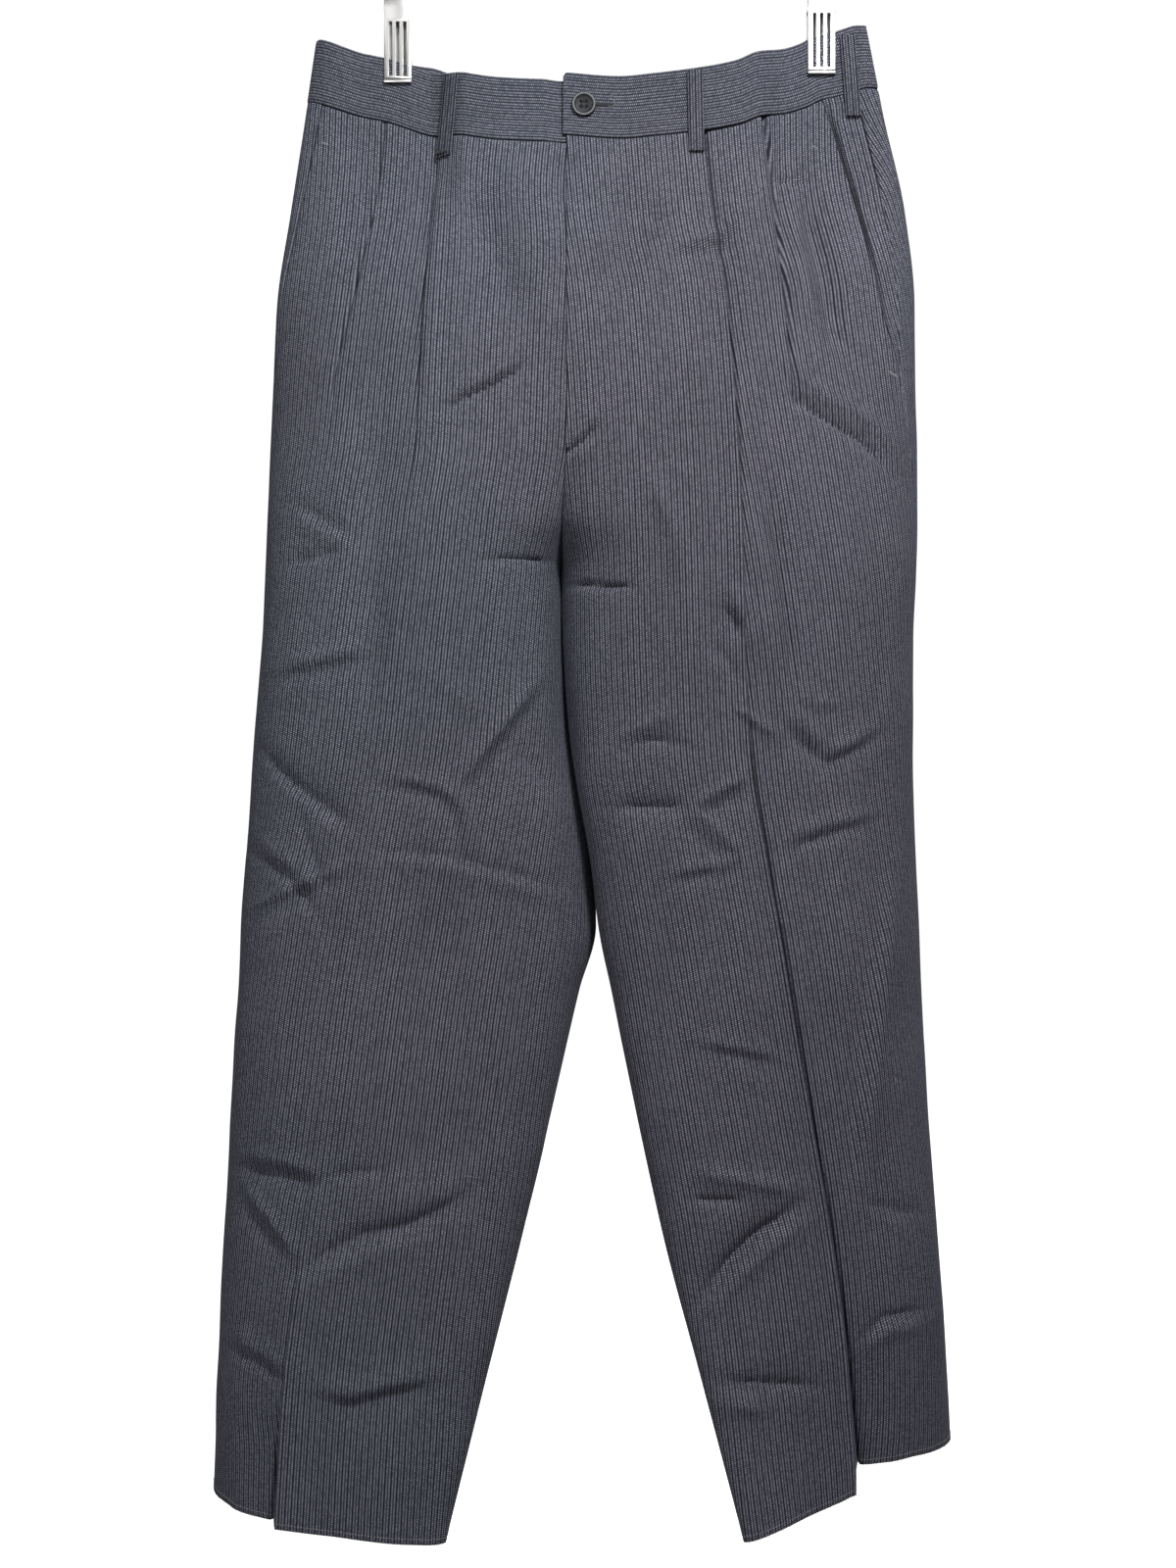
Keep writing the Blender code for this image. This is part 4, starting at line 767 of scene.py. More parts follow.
def shade(mesh, sharp):
    """Smooth shading that stays sharp where faces meet at more than this many degrees."""
    mesh.polygons.foreach_set("use_smooth", [True] * len(mesh.polygons))
    mesh.set_sharp_from_angle(angle=math.radians(sharp))


def wall_mesh(name, outside, inside, across, down, finish):
    """Close two grids of points in millimetres into a wall, with the cloth's own map."""
    rows, columns = outside.shape[:2]
    count = rows * columns
    index = np.arange(count).reshape(rows, columns)
    a, b = index[:-1, :-1].ravel(), index[:-1, 1:].ravel()
    c, d = index[1:, 1:].ravel(), index[1:, :-1].ravel()
    rim = np.concatenate([index[0, :-1], index[:-1, -1], index[-1, :0:-1], index[:0:-1, 0]])
    onward = np.roll(rim, -1)
    faces = np.concatenate([np.stack([a, b, c, d], axis=1),
                            np.stack([a, d, c, b], axis=1) + count,
                            np.stack([rim + count, onward + count, onward, rim], axis=1)])
    verts = np.concatenate([outside.reshape(-1, 3), inside.reshape(-1, 3)]) * MM
    corner = verts[faces]
    volume = 0.0
    for i, j in ((1, 2), (2, 3)):
        volume += np.einsum("ij,ij->", corner[:, 0], np.cross(corner[:, i], corner[:, j]))
    if volume < 0.0:
        faces = faces[:, ::-1]
    mesh = bpy.data.meshes.new(name)
    mesh.from_pydata(verts.tolist(), [], faces.tolist())
    cloth_map = np.stack([across.ravel(), down.ravel()], axis=1) * MM
    cloth_map = np.concatenate([cloth_map, cloth_map])
    layer = mesh.uv_layers.new(name="cloth")
    layer.data.foreach_set("uv", cloth_map[faces.ravel()].astype(np.float32).ravel())
    shade(mesh, 50.0)
    mesh.materials.append(finish)
    return put_in_scene(name, mesh)


def arc(points):
    """Distance along each row of a grid, from its first column."""
    steps = np.linalg.norm(np.diff(points[..., :2], axis=1), axis=-1)
    return np.concatenate([np.zeros((points.shape[0], 1)), np.cumsum(steps, axis=1)], axis=1)


def inner_start(nominal):
    return np.where(nominal >= CROTCH_DROP - 1.0, INSEAM_TURN, 0.0)


def side_seam(leg, nominal, side):
    """Turn of a panel's edge at the side seam, which is open at the pocket and shut below."""
    shut = smoothstep(*POCKET_SHUT, nominal)
    return turn_at(leg.lane["seam"](nominal)) + side * GAP_TURN * (1.0 - shut)


MADE = {}                   # grids of the finished panels, for what is sewn on them


def front_panel(leg, finish):
    """A front: inner edge to crease, crease to second pleat, and on to pocket and side seam."""
    nominal = rows_between(HEM_LEVEL)
    hem = leg.hem
    grid = Grid(leg, nominal)
    begin = 1.0 - inner_start(nominal)
    for back, distance in INNER_EDGE:
        grid.put(grid.sample(True, begin - back, hem["inner"], None, 1.0), edge_roll(distance))
    for turn in even_turns(leg, True, 0.984, 0.012, 58):
        hem_here = between(hem["crease"], hem["inner"], math.sin(turn * math.pi / 2))
        grid.put(grid.sample(True, turn, hem_here, None, 1.0))
    first = grid.sample(True, 0.0, hem["crease"], 0.0, None)
    second = grid.sample(False, CREASE_TURN, hem["behind"], 0.0, None)
    crease_at = len(grid.points)
    pressed = 1.0 - smoothstep(150.0, 330.0, nominal) + smoothstep(*PRESSED[leg.name], nominal)
    groove = CREASE_GROOVE[leg.name] * np.minimum(pressed, 1.0)
    shift = grid.step(first, second, 0.35, 3, groove)
    half = np.abs(leg.at["outer_x"](nominal) - leg.at["crease_x"](nominal))
    pleat = turn_at(leg.lane["pleat"](nominal))
    for share in np.linspace(0.0, 1.0, 17)[1:-1]:
        turns = CREASE_TURN + (pleat - (CREASE_TURN + PLEAT_TURN)) * share
        hem_here = between(hem["behind"], hem["outer"], share / 2)
        near = np.sin(turns * math.pi / 2) * half
        grid.put(grid.settle(grid.sample(False, turns, hem_here, 0.0, None), shift, near))
    middle_hem = (hem["behind"] + hem["outer"]) / 2
    before = grid.sample(False, pleat - PLEAT_TURN, middle_hem, 0.0, None)
    grid.settle(before, shift, np.sin(pleat * math.pi / 2) * half)
    behind = grid.sample(False, pleat + PLEAT_TURN, middle_hem, 0.0, None)
    groove = PLEAT_GROOVE[leg.name] * (1.0 - smoothstep(130.0, 230.0, nominal))
    shift = grid.step(before, behind, 0.0, 2, groove)
    edge = np.minimum(turn_at(leg.lane["mouth"](nominal)), side_seam(leg, nominal, -1.0))
    span = edge - pleat - PLEAT_TURN
    width = half * (np.sin(edge * math.pi / 2) - np.sin(pleat * math.pi / 2))
    for share in np.linspace(0.0, 0.985, 27)[1:]:
        hem_here = between(middle_hem, hem["outer"], min(1.0, 5.0 * share))
        column = grid.sample(False, pleat + PLEAT_TURN + span * share, hem_here, 0.0, None)
        grid.put(grid.settle(column, shift, width * share))
    for share, distance in FRONT_SIDE_EDGE:
        turns = pleat + PLEAT_TURN + span * share
        grid.put(grid.sample(False, turns, hem["outer"], 0.0, None), edge_roll(distance))
    drop, points, _ = grid.stacked()
    across = arc(points)
    inseam = smoothstep(*CROTCH_FADE, drop) * (1.0 - smoothstep(0.0, SEAM_FADE, across))
    beside = across[:, -1:] - across
    side = smoothstep(*POCKET_SHUT, drop) * (1.0 - smoothstep(0.0, SEAM_FADE, beside))
    depth = front_depth(points[..., 0], drop) * ((1.0 - inseam) * (1.0 - side))
    flatness = 1.0 - SEAM_FLAT * smoothstep(*FLY_SHUT, drop)
    across = across - across[:, crease_at:crease_at + 1]
    intake, start, end = HIDDEN_INTAKE[leg.name]
    hidden = intake * (1.0 - smoothstep(start, end, drop))
    past = np.arange(points.shape[1])[None, :] > crease_at + 1
    across = across + np.where(past, hidden, 0.0)
    return grid.panel("front", depth, flatness, across, finish)


def back_panel(leg, finish):
    """A back: side seam, round the side, over the back crease to the inner edge."""
    nominal = rows_between(HEM_LEVEL)
    hem = leg.hem
    grid = Grid(leg, nominal)
    seam = side_seam(leg, nominal, 1.0)
    rise = 2.0 - seam
    for share, distance in BACK_SIDE_EDGE:
        hem_here = between(hem["outer"], hem["back"], share)
        turns = seam + rise * share
        grid.put(grid.sample(False, turns, hem_here, None, 2.0), edge_roll(distance))
    typical = float(turn_at(leg.lane["seam"](400.0)))
    for turn in even_turns(leg, False, typical + 0.02, 2.0, 46):
        share = (turn - typical) / (2.0 - typical)
        hem_here = between(hem["outer"], hem["back"], share)
        grid.put(grid.sample(False, seam + rise * share, hem_here, None, 2.0))
    ridge_at = len(grid.points) - 1
    last = 1.0 + BACK_START
    for turn in even_turns(leg, True, 1.99, last + 0.014, 50):
        hem_here = between(hem["back"], hem["inner"], 2.0 - turn)
        grid.put(grid.sample(True, turn, hem_here, last, 2.0))
    for on, distance in reversed(INNER_EDGE):
        turns = last + on + inner_start(nominal)
        grid.put(grid.sample(True, turns, hem["inner"], last, 2.0), edge_roll(distance))
    drop, points, _ = grid.stacked()
    across = arc(points)
    beside = np.minimum(across, across[:, -1:] - across)
    depth = back_depth(points[..., 0], points[..., 1], drop) * smoothstep(0.0, SEAM_FADE, beside)
    inner = np.arange(points.shape[1])[None, :] > ridge_at
    flatness = np.where(inner, 1.0 - SEAM_FLAT, 1.0)
    across = across - across[:, ridge_at:ridge_at + 1]
    return grid.panel("back", depth, flatness, across, finish)


def pocket_facing(leg, gape, finish):
    """The cloth behind a slant pocket's mouth, from under the front to the side seam."""
    nominal = np.concatenate([FIRST_ROWS, np.arange(4.0, POCKET_END, CELL), [POCKET_END]])
    grid = Grid(leg, nominal)
    seam = turn_at(leg.lane["seam"](nominal)) - GAP_TURN
    mouth = np.minimum(turn_at(leg.lane["mouth"](nominal)), seam - 0.01)
    span = np.abs(leg.at["outer_x"](nominal) - leg.at["crease_x"](nominal))
    start = turn_at(np.sin(mouth * math.pi / 2.0) - POCKET_UNDER / span)
    open_at = np.sin(np.clip((nominal + 20.0) / 170.0, 0.0, 1.0) * math.pi)
    shows = np.clip((seam - mouth - 0.02) / 0.06, 0.0, 1.0)
    outside, normals, drops = [], [], []
    shares = [(0.0, 0.0), (0.5, 0.0), (1.0, 0.0)]
    shares += [(1.0, s) for s in np.linspace(0.0, 1.0, 22)[1:]]
    for under, share in shares:
        turns = start + (mouth - start) * under + (seam - mouth) * share
        drop, points, out = grid.sample(False, turns, HEM_LEVEL, 0.0, None)
        rise = shows * smoothstep(0.02, 0.20, share)
        reach = (POCKET_STEP + (gape + POCKET_GAP) * open_at) * (1.0 - rise)
        reach = reach * (0.25 + 0.75 * smoothstep(0.0, 16.0, nominal))
        depth = front_depth(points[..., 0], drop) * (1.0 - smoothstep(0.6, 1.0, share)) + reach
        outside.append(points - out * depth[:, None])
        normals.append(out)
        drops.append(drop)
    outside, normals = np.stack(outside, axis=1), np.stack(normals, axis=1)
    return wall_mesh(f"cloth_facing_{leg.name}", outside, outside - normals * POCKET_WALL,
                     arc(outside), np.stack(drops, axis=1), finish)


def band_places(leg):
    """Turns of the band's columns, front middle to back middle."""
    near = (0.0, -20.0)
    places = [(True, 1.0), (True, 0.9995), (True, 0.998)]
    places += [(True, t) for t in even_turns(leg, True, 0.995, 0.0, 54, near, True)]
    places += [(False, t) for t in even_turns(leg, False, 0.02, 2.0, 92, near, True)[1:]]
    places += [(True, t) for t in even_turns(leg, True, 2.0, 1.0 + BACK_START, 46, near, True)[1:]]
    return places


def waistband(leg, finish):
    """Half the waistband.  The left one's end lies over the right one's at the front."""
    height = np.concatenate([FIRST_ROWS, np.arange(3.0, BAND_HEIGHT - 2.5, 2.0),
                             [BAND_HEIGHT - row for row in (1.6, 0.7, 0.2, 0.0)]])
    fold = np.clip((height - BAND_HEIGHT + 2.0) / 2.0, 0.0, 1.0)
    roll = 0.85 * (1.0 - np.sqrt(1.0 - fold * fold))
    roll[:3] = (0.9, 0.4, 0.05)
    outside, inside = [], []
    for inward, turn in band_places(leg):
        drop = leg.waist(inward, turn) - height
        turns = np.full(len(height), turn)
        low, high = (None, None)
        if inward:
            low, high = (0.0, 1.0) if turn <= 1.0 else (1.0 + BACK_START, 2.0)
        elif turn < 0.1:
            low = 0.0
        points = leg.point(inward, turns, drop, True)
        normals = leg.normal(inward, turns, drop, low, high, True)
        if inward and abs(turn - 1.0) < 0.01:
            normals[:, 0] = 0.0
            normals = unit(normals)
        outside.append(points + normals * (BAND_PROUD - roll)[:, None])
        inside.append(points + normals * (BAND_PROUD - BAND_WALL + 0.5 * roll)[:, None])
    outside, inside = np.stack(outside, axis=1), np.stack(inside, axis=1)
    if leg.sign > 0:
        reach = np.clip(BAND_CORNER - (outside[..., 0] - outside[:, :1, 0]), 0.0, BAND_CORNER)
        cut = BAND_CORNER - np.sqrt(np.maximum(BAND_CORNER ** 2 - reach ** 2, 0.0))
        cut = cut * smoothstep(BAND_HEIGHT - 12.0, BAND_HEIGHT, height)[:, None]
        outside[..., 2] -= cut
        inside[..., 2] -= cut
    across = np.tile(-height[:, None], (1, outside.shape[1]))
    return wall_mesh(f"cloth_band_{leg.name}", outside, inside, across, arc(outside), finish)


# ---------------------------------------------------------------- places on the cloth
def front_place(leg, x, drop, band=False):
    """The outer face and its normal at a place on the front, in millimetres."""
    turns = np.linspace(0.0, 1.0, SAMPLES)
    found = []
    for inward in (True, False):
        xs = leg.face(inward, turns, np.full(SAMPLES, float(drop)), band)[0]
        i = int(np.argmin(np.abs(xs - x)))
        found.append((abs(xs[i] - x), inward, turns[i]))
    _, inward, turn = min(found)
    spot = leg.point(inward, np.array([turn]), np.array([float(drop)]), band)[0]
    out = leg.normal(inward, np.array([turn]), np.array([float(drop)]), 0.0, 1.0, band)[0]
    spot[0] = x
    push = BAND_PROUD if band else -float(front_depth(np.array(spot[0]), np.array(float(drop))))
    return spot + out * push, out


def surface_y(leg, x, drop, front):
    """Depth of the waist's face straight behind or ahead of each place."""
    start, stop = (0.0, 1.0) if front else (1.0 + BACK_START, 2.0)
    turns = np.linspace(start, stop, 201)
    found = []
    for x_one, drop_one in zip(x, drop):
        drops = np.full(len(turns), drop_one)
        outer = leg.face(False, turns, drops, True)
        inner = leg.face(True, turns, drops, True)
        xs = np.concatenate([outer[0], inner[0]])
        ys = np.concatenate([outer[1], inner[1]])
        order = np.argsort(xs)
        found.append(np.interp(x_one, xs[order], ys[order]))
    return np.array(found)


def belt_loop(name, leg, top_x, bottom_x, front, finish):
    """A narrow strip with turned edges, sewn at its top and under the waist seam."""
    along = np.linspace(0.0, 1.0, 43)
    x_mid = between(top_x, bottom_x, along)
    seam = (leg.front_waist if front else leg.back_waist)(x_mid)
    start = seam[0] - BAND_HEIGHT + 2.0
    drop = between(start, seam[-1] + LOOP_BELOW, along)
    face = -1.0 if front else 1.0
    free = np.sin(along * math.pi) ** 0.5 * LOOP_STANDOFF
    offsets = np.array(LOOP_OFFSETS)
    rounded = np.sqrt(np.clip(1.0 - (np.abs(offsets) / LOOP_OFFSETS[-1]) ** 4, 0.0, 1.0))
    thickness = LOOP_WALL * (LOOP_THIN + LOOP_ROUND * rounded)
    outside, inside = [], []
    for offset, wall in zip(offsets, thickness):
        x = x_mid + offset
        y = surface_y(leg, x, drop, front) + face * (BAND_PROUD + LOOP_SEAT + free)
        z = WAIST_LEVEL - drop
        inside.append(np.stack([x, y, z], axis=-1))
        outside.append(np.stack([x, y + face * wall, z], axis=-1))
    outside, inside = np.stack(outside, axis=1), np.stack(inside, axis=1)
    across = np.tile(offsets + 1.9, (len(along), 1))
    return wall_mesh(name, outside, inside, across, np.tile(drop[:, None], (1, len(offsets))),
                     finish)


# ---------------------------------------------------------------- finishes
class Value:
    """A number that changes over a surface: an output socket that takes arithmetic."""

    def __init__(self, finish, socket):
        self.finish = finish
        self.socket = socket

    def _maths(self, operation, *values):
        given = dict(enumerate(values))
        return self.finish.node("ShaderNodeMath", {"operation": operation}, given)

    def __add__(self, other):
        return self._maths("ADD", self, other)

    __radd__ = __add__

    def __sub__(self, other):
        return self._maths("SUBTRACT", self, other)

    def __rsub__(self, other):
        return self._maths("SUBTRACT", other, self)

    def __mul__(self, other):
        return self._maths("MULTIPLY", self, other)

    __rmul__ = __mul__

    def part(self):
        return self._maths("FRACT", self)

    def whole(self):
        return self._maths("FLOOR", self)

    def size(self):
        return self._maths("ABSOLUTE", self)

    def power(self, other):
        return self._maths("POWER", self, other)

    def smooth(self, low, high):
        """0 under low and 1 over high, with a soft step between."""
        values = {"Value": self, "From Min": low, "From Max": high}
        return self.finish.node("ShaderNodeMapRange", {"interpolation_type": "SMOOTHSTEP"}, values)


class Finish:
    """One material.  What is the same all over is set on the shader's own sockets."""

    def __init__(self, name, colour, roughness, metallic=0.0, **constants):
        self.material = bpy.data.materials.new(name)
        self.material.use_nodes = True
        self.tree = self.material.node_tree
        self.shader = self.tree.nodes["Principled BSDF"]
        first = {"Base Color": (*colour, 1.0), "Roughness": roughness, "Metallic": metallic}
        for socket, value in {**first, **constants}.items():
            self.shader.inputs[socket.replace("_", " ")].default_value = value
        self.material.diffuse_color = (*colour, 1.0)

    def node(self, kind, settings=None, values=None, output=0):
        """A node of this kind: its settings first, then the values or links of its sockets."""
        made = self.tree.nodes.new(kind)
        for key, value in (settings or {}).items():
            setattr(made, key, value)
        for key, value in (values or {}).items():
            self.feed(made.inputs[key], value)
        return Value(self, made.outputs[output])

    def feed(self, socket, value):
        if isinstance(value, Value):
            self.tree.links.new(value.socket, socket)
        else:
            socket.default_value = value

    def set(self, socket, value):
        self.feed(self.shader.inputs[socket], value)

    def mix(self, amount, first, second):
        """A colour between two colours."""
        first = first if isinstance(first, Value) else (*first, 1.0)
        second = second if isinstance(second, Value) else (*second, 1.0)
        values = {0: amount, 6: first, 7: second}
        return self.node("ShaderNodeMix", {"data_type": "RGBA"}, values, 2)

    def noise(self, place, scale, detail=2.0, roughness=0.5):
        values = {"Vector": place, "Scale": scale, "Detail": detail, "Roughness": roughness}
        return self.node("ShaderNodeTexNoise", {}, values)

    def place(self):
        return self.node("ShaderNodeTexCoord", {}, {}, 3)

    def bump(self, height, strength, distance):
        values = {"Height": height, "Strength": strength, "Distance": distance}
        self.set("Normal", self.node("ShaderNodeBump", {}, values))


def suiting(name, look, glow=0.0, line_strength=0.95):
    """Wool-blend suiting: fine dark lines with two columns of small pale picks between them."""
    finish = Finish(name, look.ground, look.roughness, 0.0, Sheen_Weight=look.sheen,
                    Sheen_Roughness=0.45, Sheen_Tint=(0.75, 0.8, 1.0, 1.0),
                    Specular_IOR_Level=0.15)
    spot = finish.node("ShaderNodeUVMap", {"uv_map": "cloth"})
    split = finish.node("ShaderNodeSeparateXYZ", {}, {"Vector": spot})
    across = split
    down = Value(finish, split.socket.node.outputs[1])
    wander = finish.noise(spot, 70.0, 1.0) - 0.5
    stripe = across * (1.0 / look.stripe) + wander * 0.05
    line = 1.0 - (stripe.part() - 0.5).size().smooth(look.line_share * 0.3, look.line_share * 0.8)
    lane = stripe * 2.0
    wale = lane.whole()
    side = lane.part() - 0.5
    beside = side.size()
    pick = down * (1.0 / look.pick) + wale * 0.5 + wander * 0.2 + side * 0.7
    within = (pick.part() - 0.5).size()
    dot = (1.0 - beside.smooth(0.06, 0.42)) * (1.0 - within.smooth(0.04, 0.38))
    cell = finish.node("ShaderNodeCombineXYZ", {}, {0: wale, 1: pick.whole()})
    speck = finish.node("ShaderNodeTexWhiteNoise", {"noise_dimensions": "2D"}, {"Vector": cell})
    dot = dot * (0.40 + speck * 0.90)
    rib = 1.0 - beside.smooth(0.20, 0.50)
    yarn = finish.noise(spot, 2600.0, 2.0, 0.7)
    drawn = finish.node("ShaderNodeCombineXYZ", {}, {0: across * 520.0, 1: down * 26.0})
    slub = finish.noise(drawn, 1.0, 2.0, 0.6)
    cloud = finish.noise(finish.place(), 7.0, 3.0, 0.55)
    drift = finish.noise(finish.place(), 3.1, 1.0)
    ground = finish.mix(drift.smooth(0.36, 0.66), look.ground, look.ground_cool)
    shade = tuple(c * 0.55 for c in look.ground)
    colour = finish.mix(rib * 0.75 + 0.25, shade, ground)
    colour = finish.mix(dot, colour, look.dots)
    colour = finish.mix(line * line_strength, colour, look.lines)
    colour = finish.mix((yarn - 0.5).size() * 1.1, colour, look.fibre)
    # Brightness varies at random with the cloud, the yarn and the slubs. glow shifts it evenly over
    # a whole finish; the loops' negative glow is painted shade.
    worn = 0.62 + cloud * 0.34 + (yarn - 0.5) * 0.6 + slub * 0.42 + glow
    grey = finish.node("ShaderNodeCombineXYZ", {}, {0: worn, 1: worn, 2: worn})
    colour = finish.node("ShaderNodeVectorMath", {"operation": "MULTIPLY"}, {0: colour, 1: grey})
    finish.set("Base Color", colour)
    finish.set("Roughness", look.roughness - dot * 0.10 + (yarn - 0.5) * 0.12)
    height = dot * 0.6 - line * 0.8 + yarn * 0.45
    finish.bump(height, 0.55, look.relief)
    return finish.material


def thread_finish(name, colour):
    finish = Finish(name, colour, 0.75, 0.0, Sheen_Weight=0.2)
    twist = finish.noise(finish.place(), 2400.0, 1.0)
    finish.set("Base Color", finish.mix(twist, tuple(c * 0.72 for c in colour), colour))
    finish.bump(twist, 0.4, 0.0002)
    return finish.material


def steel_finish(name, look):
    """Bright plated steel with fine wear and a few dull places."""
    finish = Finish(name, look.metal, look.metal_roughness, 1.0)
    dull = finish.noise(finish.place(), 60.0, 4.0, 0.6)
    fine = finish.noise(finish.place(), 900.0, 2.0)
    worn = tuple(c * 0.82 for c in look.metal)
    finish.set("Base Color", finish.mix(dull.smooth(0.45, 0.75), look.metal, worn))
    finish.set("Roughness", look.metal_roughness + dull * 0.10 + (fine - 0.5) * 0.06)
    finish.bump(fine, 0.08, 0.0002)
    return finish.material


def button_finish(name, look):
    """Polished dark resin with faint cloudy grain, and a pale ring painted on its rim as a
    highlight.
    """
    finish = Finish(name, look.resin, 0.4, 0.0, Specular_IOR_Level=0.2)
    grain = finish.noise(finish.place(), 260.0, 4.0, 0.6)
    scratch = finish.noise(finish.place(), 1500.0, 2.0)
    pale = tuple(min(1.0, c * 2.6 + 0.01) for c in look.resin)
    split = finish.node("ShaderNodeSeparateXYZ", {}, {"Vector": finish.place()})
    low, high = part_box("waist_button")
    across = split - (low.x + high.x) / 2.0
    up = Value(finish, split.socket.node.outputs[2]) - (low.z + high.z) / 2.0
    radius = (across * across + up * up).power(0.5)
    # A pale ring on the rim: a painted highlight where the rounded rim would catch the light.
    painted_rim_highlight = radius.smooth(0.0061, 0.0066) * (1.0 - radius.smooth(0.0071, 0.0077))
    colour = finish.mix(grain.smooth(0.42, 0.72) * 0.55, look.resin, pale)
    finish.set("Base Color", finish.mix(painted_rim_highlight * 0.8, colour, look.rim))
    finish.set("Roughness", 0.36 + scratch * 0.2)
    finish.bump(scratch, 0.06, 0.0001)
    return finish.material


# ---------------------------------------------------------------- thread by Geometry Nodes
THREAD_INPUTS = (
    ("Spacing", "NodeSocketFloat", 0.002),
    ("Length", "NodeSocketFloat", 0.002),
    ("Thickness", "NodeSocketFloat", 0.0004),
    ("Slant", "NodeSocketFloat", 0.0),
    ("Unevenness", "NodeSocketFloat", 0.1),
    ("Seed", "NodeSocketInt", 1),
    ("Thread", "NodeSocketMaterial", None),
)

# Spacing, length and thickness in metres, slant, unevenness and seed of each line of thread.
THREADS = {
    "hem_overlock_thread": (0.0021, 0.0019, 0.00042, 0.10, 0.16, 5),
    "hem_loose_yarn": (0.0008, 0.0026, 0.00026, 1.57, 0.55, 9),
    "pocket_bartacks": (0.0006, 0.0018, 0.00035, 1.4, 0.2, 3),
    "dark_stitches": (0.0005, 0.0026, 0.00045, 1.5, 0.12, 4),
    "buttonhole": (0.0004, 0.0024, 0.0006, 1.57, 0.10, 6),
    "buttonhole_loose_thread": (0.0004, 0.0011, 0.0003, 0.0, 0.04, 7),
    "lint_flecks": (0.0011, 0.0016, 0.00035, 0.0, 0.25, 8),
    "button_thread": (0.0006, 0.0012, 0.00045, 0.0, 0.08, 2),
}


def stitch_tree():
    """Stitches, or loose hairs, laid along a line of points that knows its outward side."""
    tree = bpy.data.node_groups.new("stitches_along_a_line", "GeometryNodeTree")
    tree.is_modifier = True
    face = tree.interface
    for way in ("INPUT", "OUTPUT"):
        face.new_socket("Geometry", in_out=way, socket_type="NodeSocketGeometry")
    for name, kind, default in THREAD_INPUTS:
        socket = face.new_socket(name, in_out="INPUT", socket_type=kind)
        if default is not None:
            socket.default_value = default

    def node(kind, inputs=None, **settings):
        """A node of this kind, with values or links for its sockets; gives its outputs."""
        made = tree.nodes.new(kind)
        for key, value in settings.items():
            setattr(made, key, value)
        for key, value in (inputs or {}).items():
            if isinstance(value, bpy.types.NodeSocket):
                tree.links.new(value, made.inputs[key])
            else:
                made.inputs[key].default_value = value
        return made.outputs

    def maths(operation, *values):
        return node("ShaderNodeMath", dict(enumerate(values)), operation=operation)[0]

    def chance(low, high, offset):
        """A number for each stitch, spread by the unevenness."""
        seed = node("FunctionNodeIntegerMath", {0: given["Seed"], 1: offset}, operation="ADD")[0]
        drawn = node("FunctionNodeRandomValue", {2: low, 3: high, "Seed": seed},
                     data_type="FLOAT")[1]
        return maths("MULTIPLY", drawn, given["Unevenness"])

    given = node("NodeGroupInput")
    length, thickness = given["Length"], given["Thickness"]
    line = node("GeometryNodeMeshToCurve", {0: given["Geometry"]})[0]
    parted = node("GeometryNodeResampleCurve", {"Curve": line, "Length": given["Spacing"]},
                  mode="LENGTH")[0]
    outward = node("GeometryNodeInputNamedAttribute", {"Name": "outward"},
                   data_type="FLOAT_VECTOR")["Attribute"]
    axes = node("FunctionNodeAxesToRotation",
                {0: outward, 1: node("GeometryNodeInputTangent")[0]},
                primary_axis="Z", secondary_axis="X")[0]
    lean = maths("ADD", given["Slant"], chance(-1.0, 1.0, 3))
    spin = node("FunctionNodeAxisAngleToRotation", {"Axis": (0.0, 0.0, 1.0), "Angle": lean})[0]
    turned = node("FunctionNodeRotateRotation", {0: axes, 1: spin}, rotation_space="LOCAL")[0]
    grown = maths("MULTIPLY_ADD", chance(-0.6, 0.6, 7), length, length)
    size = node("ShaderNodeCombineXYZ", {0: grown, 1: thickness, 2: thickness})[0]
    stitch = node("GeometryNodeMeshUVSphere", {"Segments": 6, "Rings": 5, "Radius": 0.5})["Mesh"]
    laid = node("GeometryNodeInstanceOnPoints", {"Points": parted, "Instance": stitch,
                                                 "Rotation": turned, "Scale": size})[0]
    real = node("GeometryNodeRealizeInstances", {0: laid})[0]
    rounded = node("GeometryNodeSetShadeSmooth", {"Geometry": real})[0]
    dressed = node("GeometryNodeSetMaterial", {"Geometry": rounded, "Material": given["Thread"]})
    node("NodeGroupOutput", {0: dressed[0]})
    return tree


def line_object(name, lines):
    """Open lines of points in millimetres, each point with the outward side of its cloth."""
    verts, edges, outward = [], [], []
    for points, normals in lines:
        first = len(verts)
        verts += [tuple(p * MM for p in point) for point in points]
        outward += [tuple(n) for n in normals]
        edges += [(first + i, first + i + 1) for i in range(len(points) - 1)]
    mesh = bpy.data.meshes.new(name)
    mesh.from_pydata(verts, edges, [])
    side = mesh.attributes.new("outward", "FLOAT_VECTOR", "POINT")
    side.data.foreach_set("vector", np.array(outward, np.float32).ravel())
    return put_in_scene(name, mesh)


def stitched(name, lines, thread):
    """Lay stitches along lines and keep the result as one plain mesh."""
    tree = bpy.data.node_groups.get("stitches_along_a_line") or stitch_tree()
    made = line_object(name, lines)
    modifier = made.modifiers.new("Stitches", "NODES")
    modifier.node_group = tree
    values = dict(zip((row[0] for row in THREAD_INPUTS), (*THREADS[name], thread)))
    for item in tree.interface.items_tree:
        if item.in_out == "INPUT" and item.name in values:
            modifier[item.identifier] = values[item.name]
    apply_all(made).data.name = name
    if not made.data.polygons:
        raise RuntimeError(f"{name} came out with no stitches")
    return sewn_on(made)


# ---------------------------------------------------------------- what each piece stands for
def sewn_on(piece):
    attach(piece, BODY)
    return piece


def cloth_piece(piece, node):
    """Hide the solid that a piece of cloth stands for, and attach the piece to the body."""
    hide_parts(node)
    sewn_on(piece)


def metal_piece(piece, node):
    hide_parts(node)
    return sewn_on(piece)


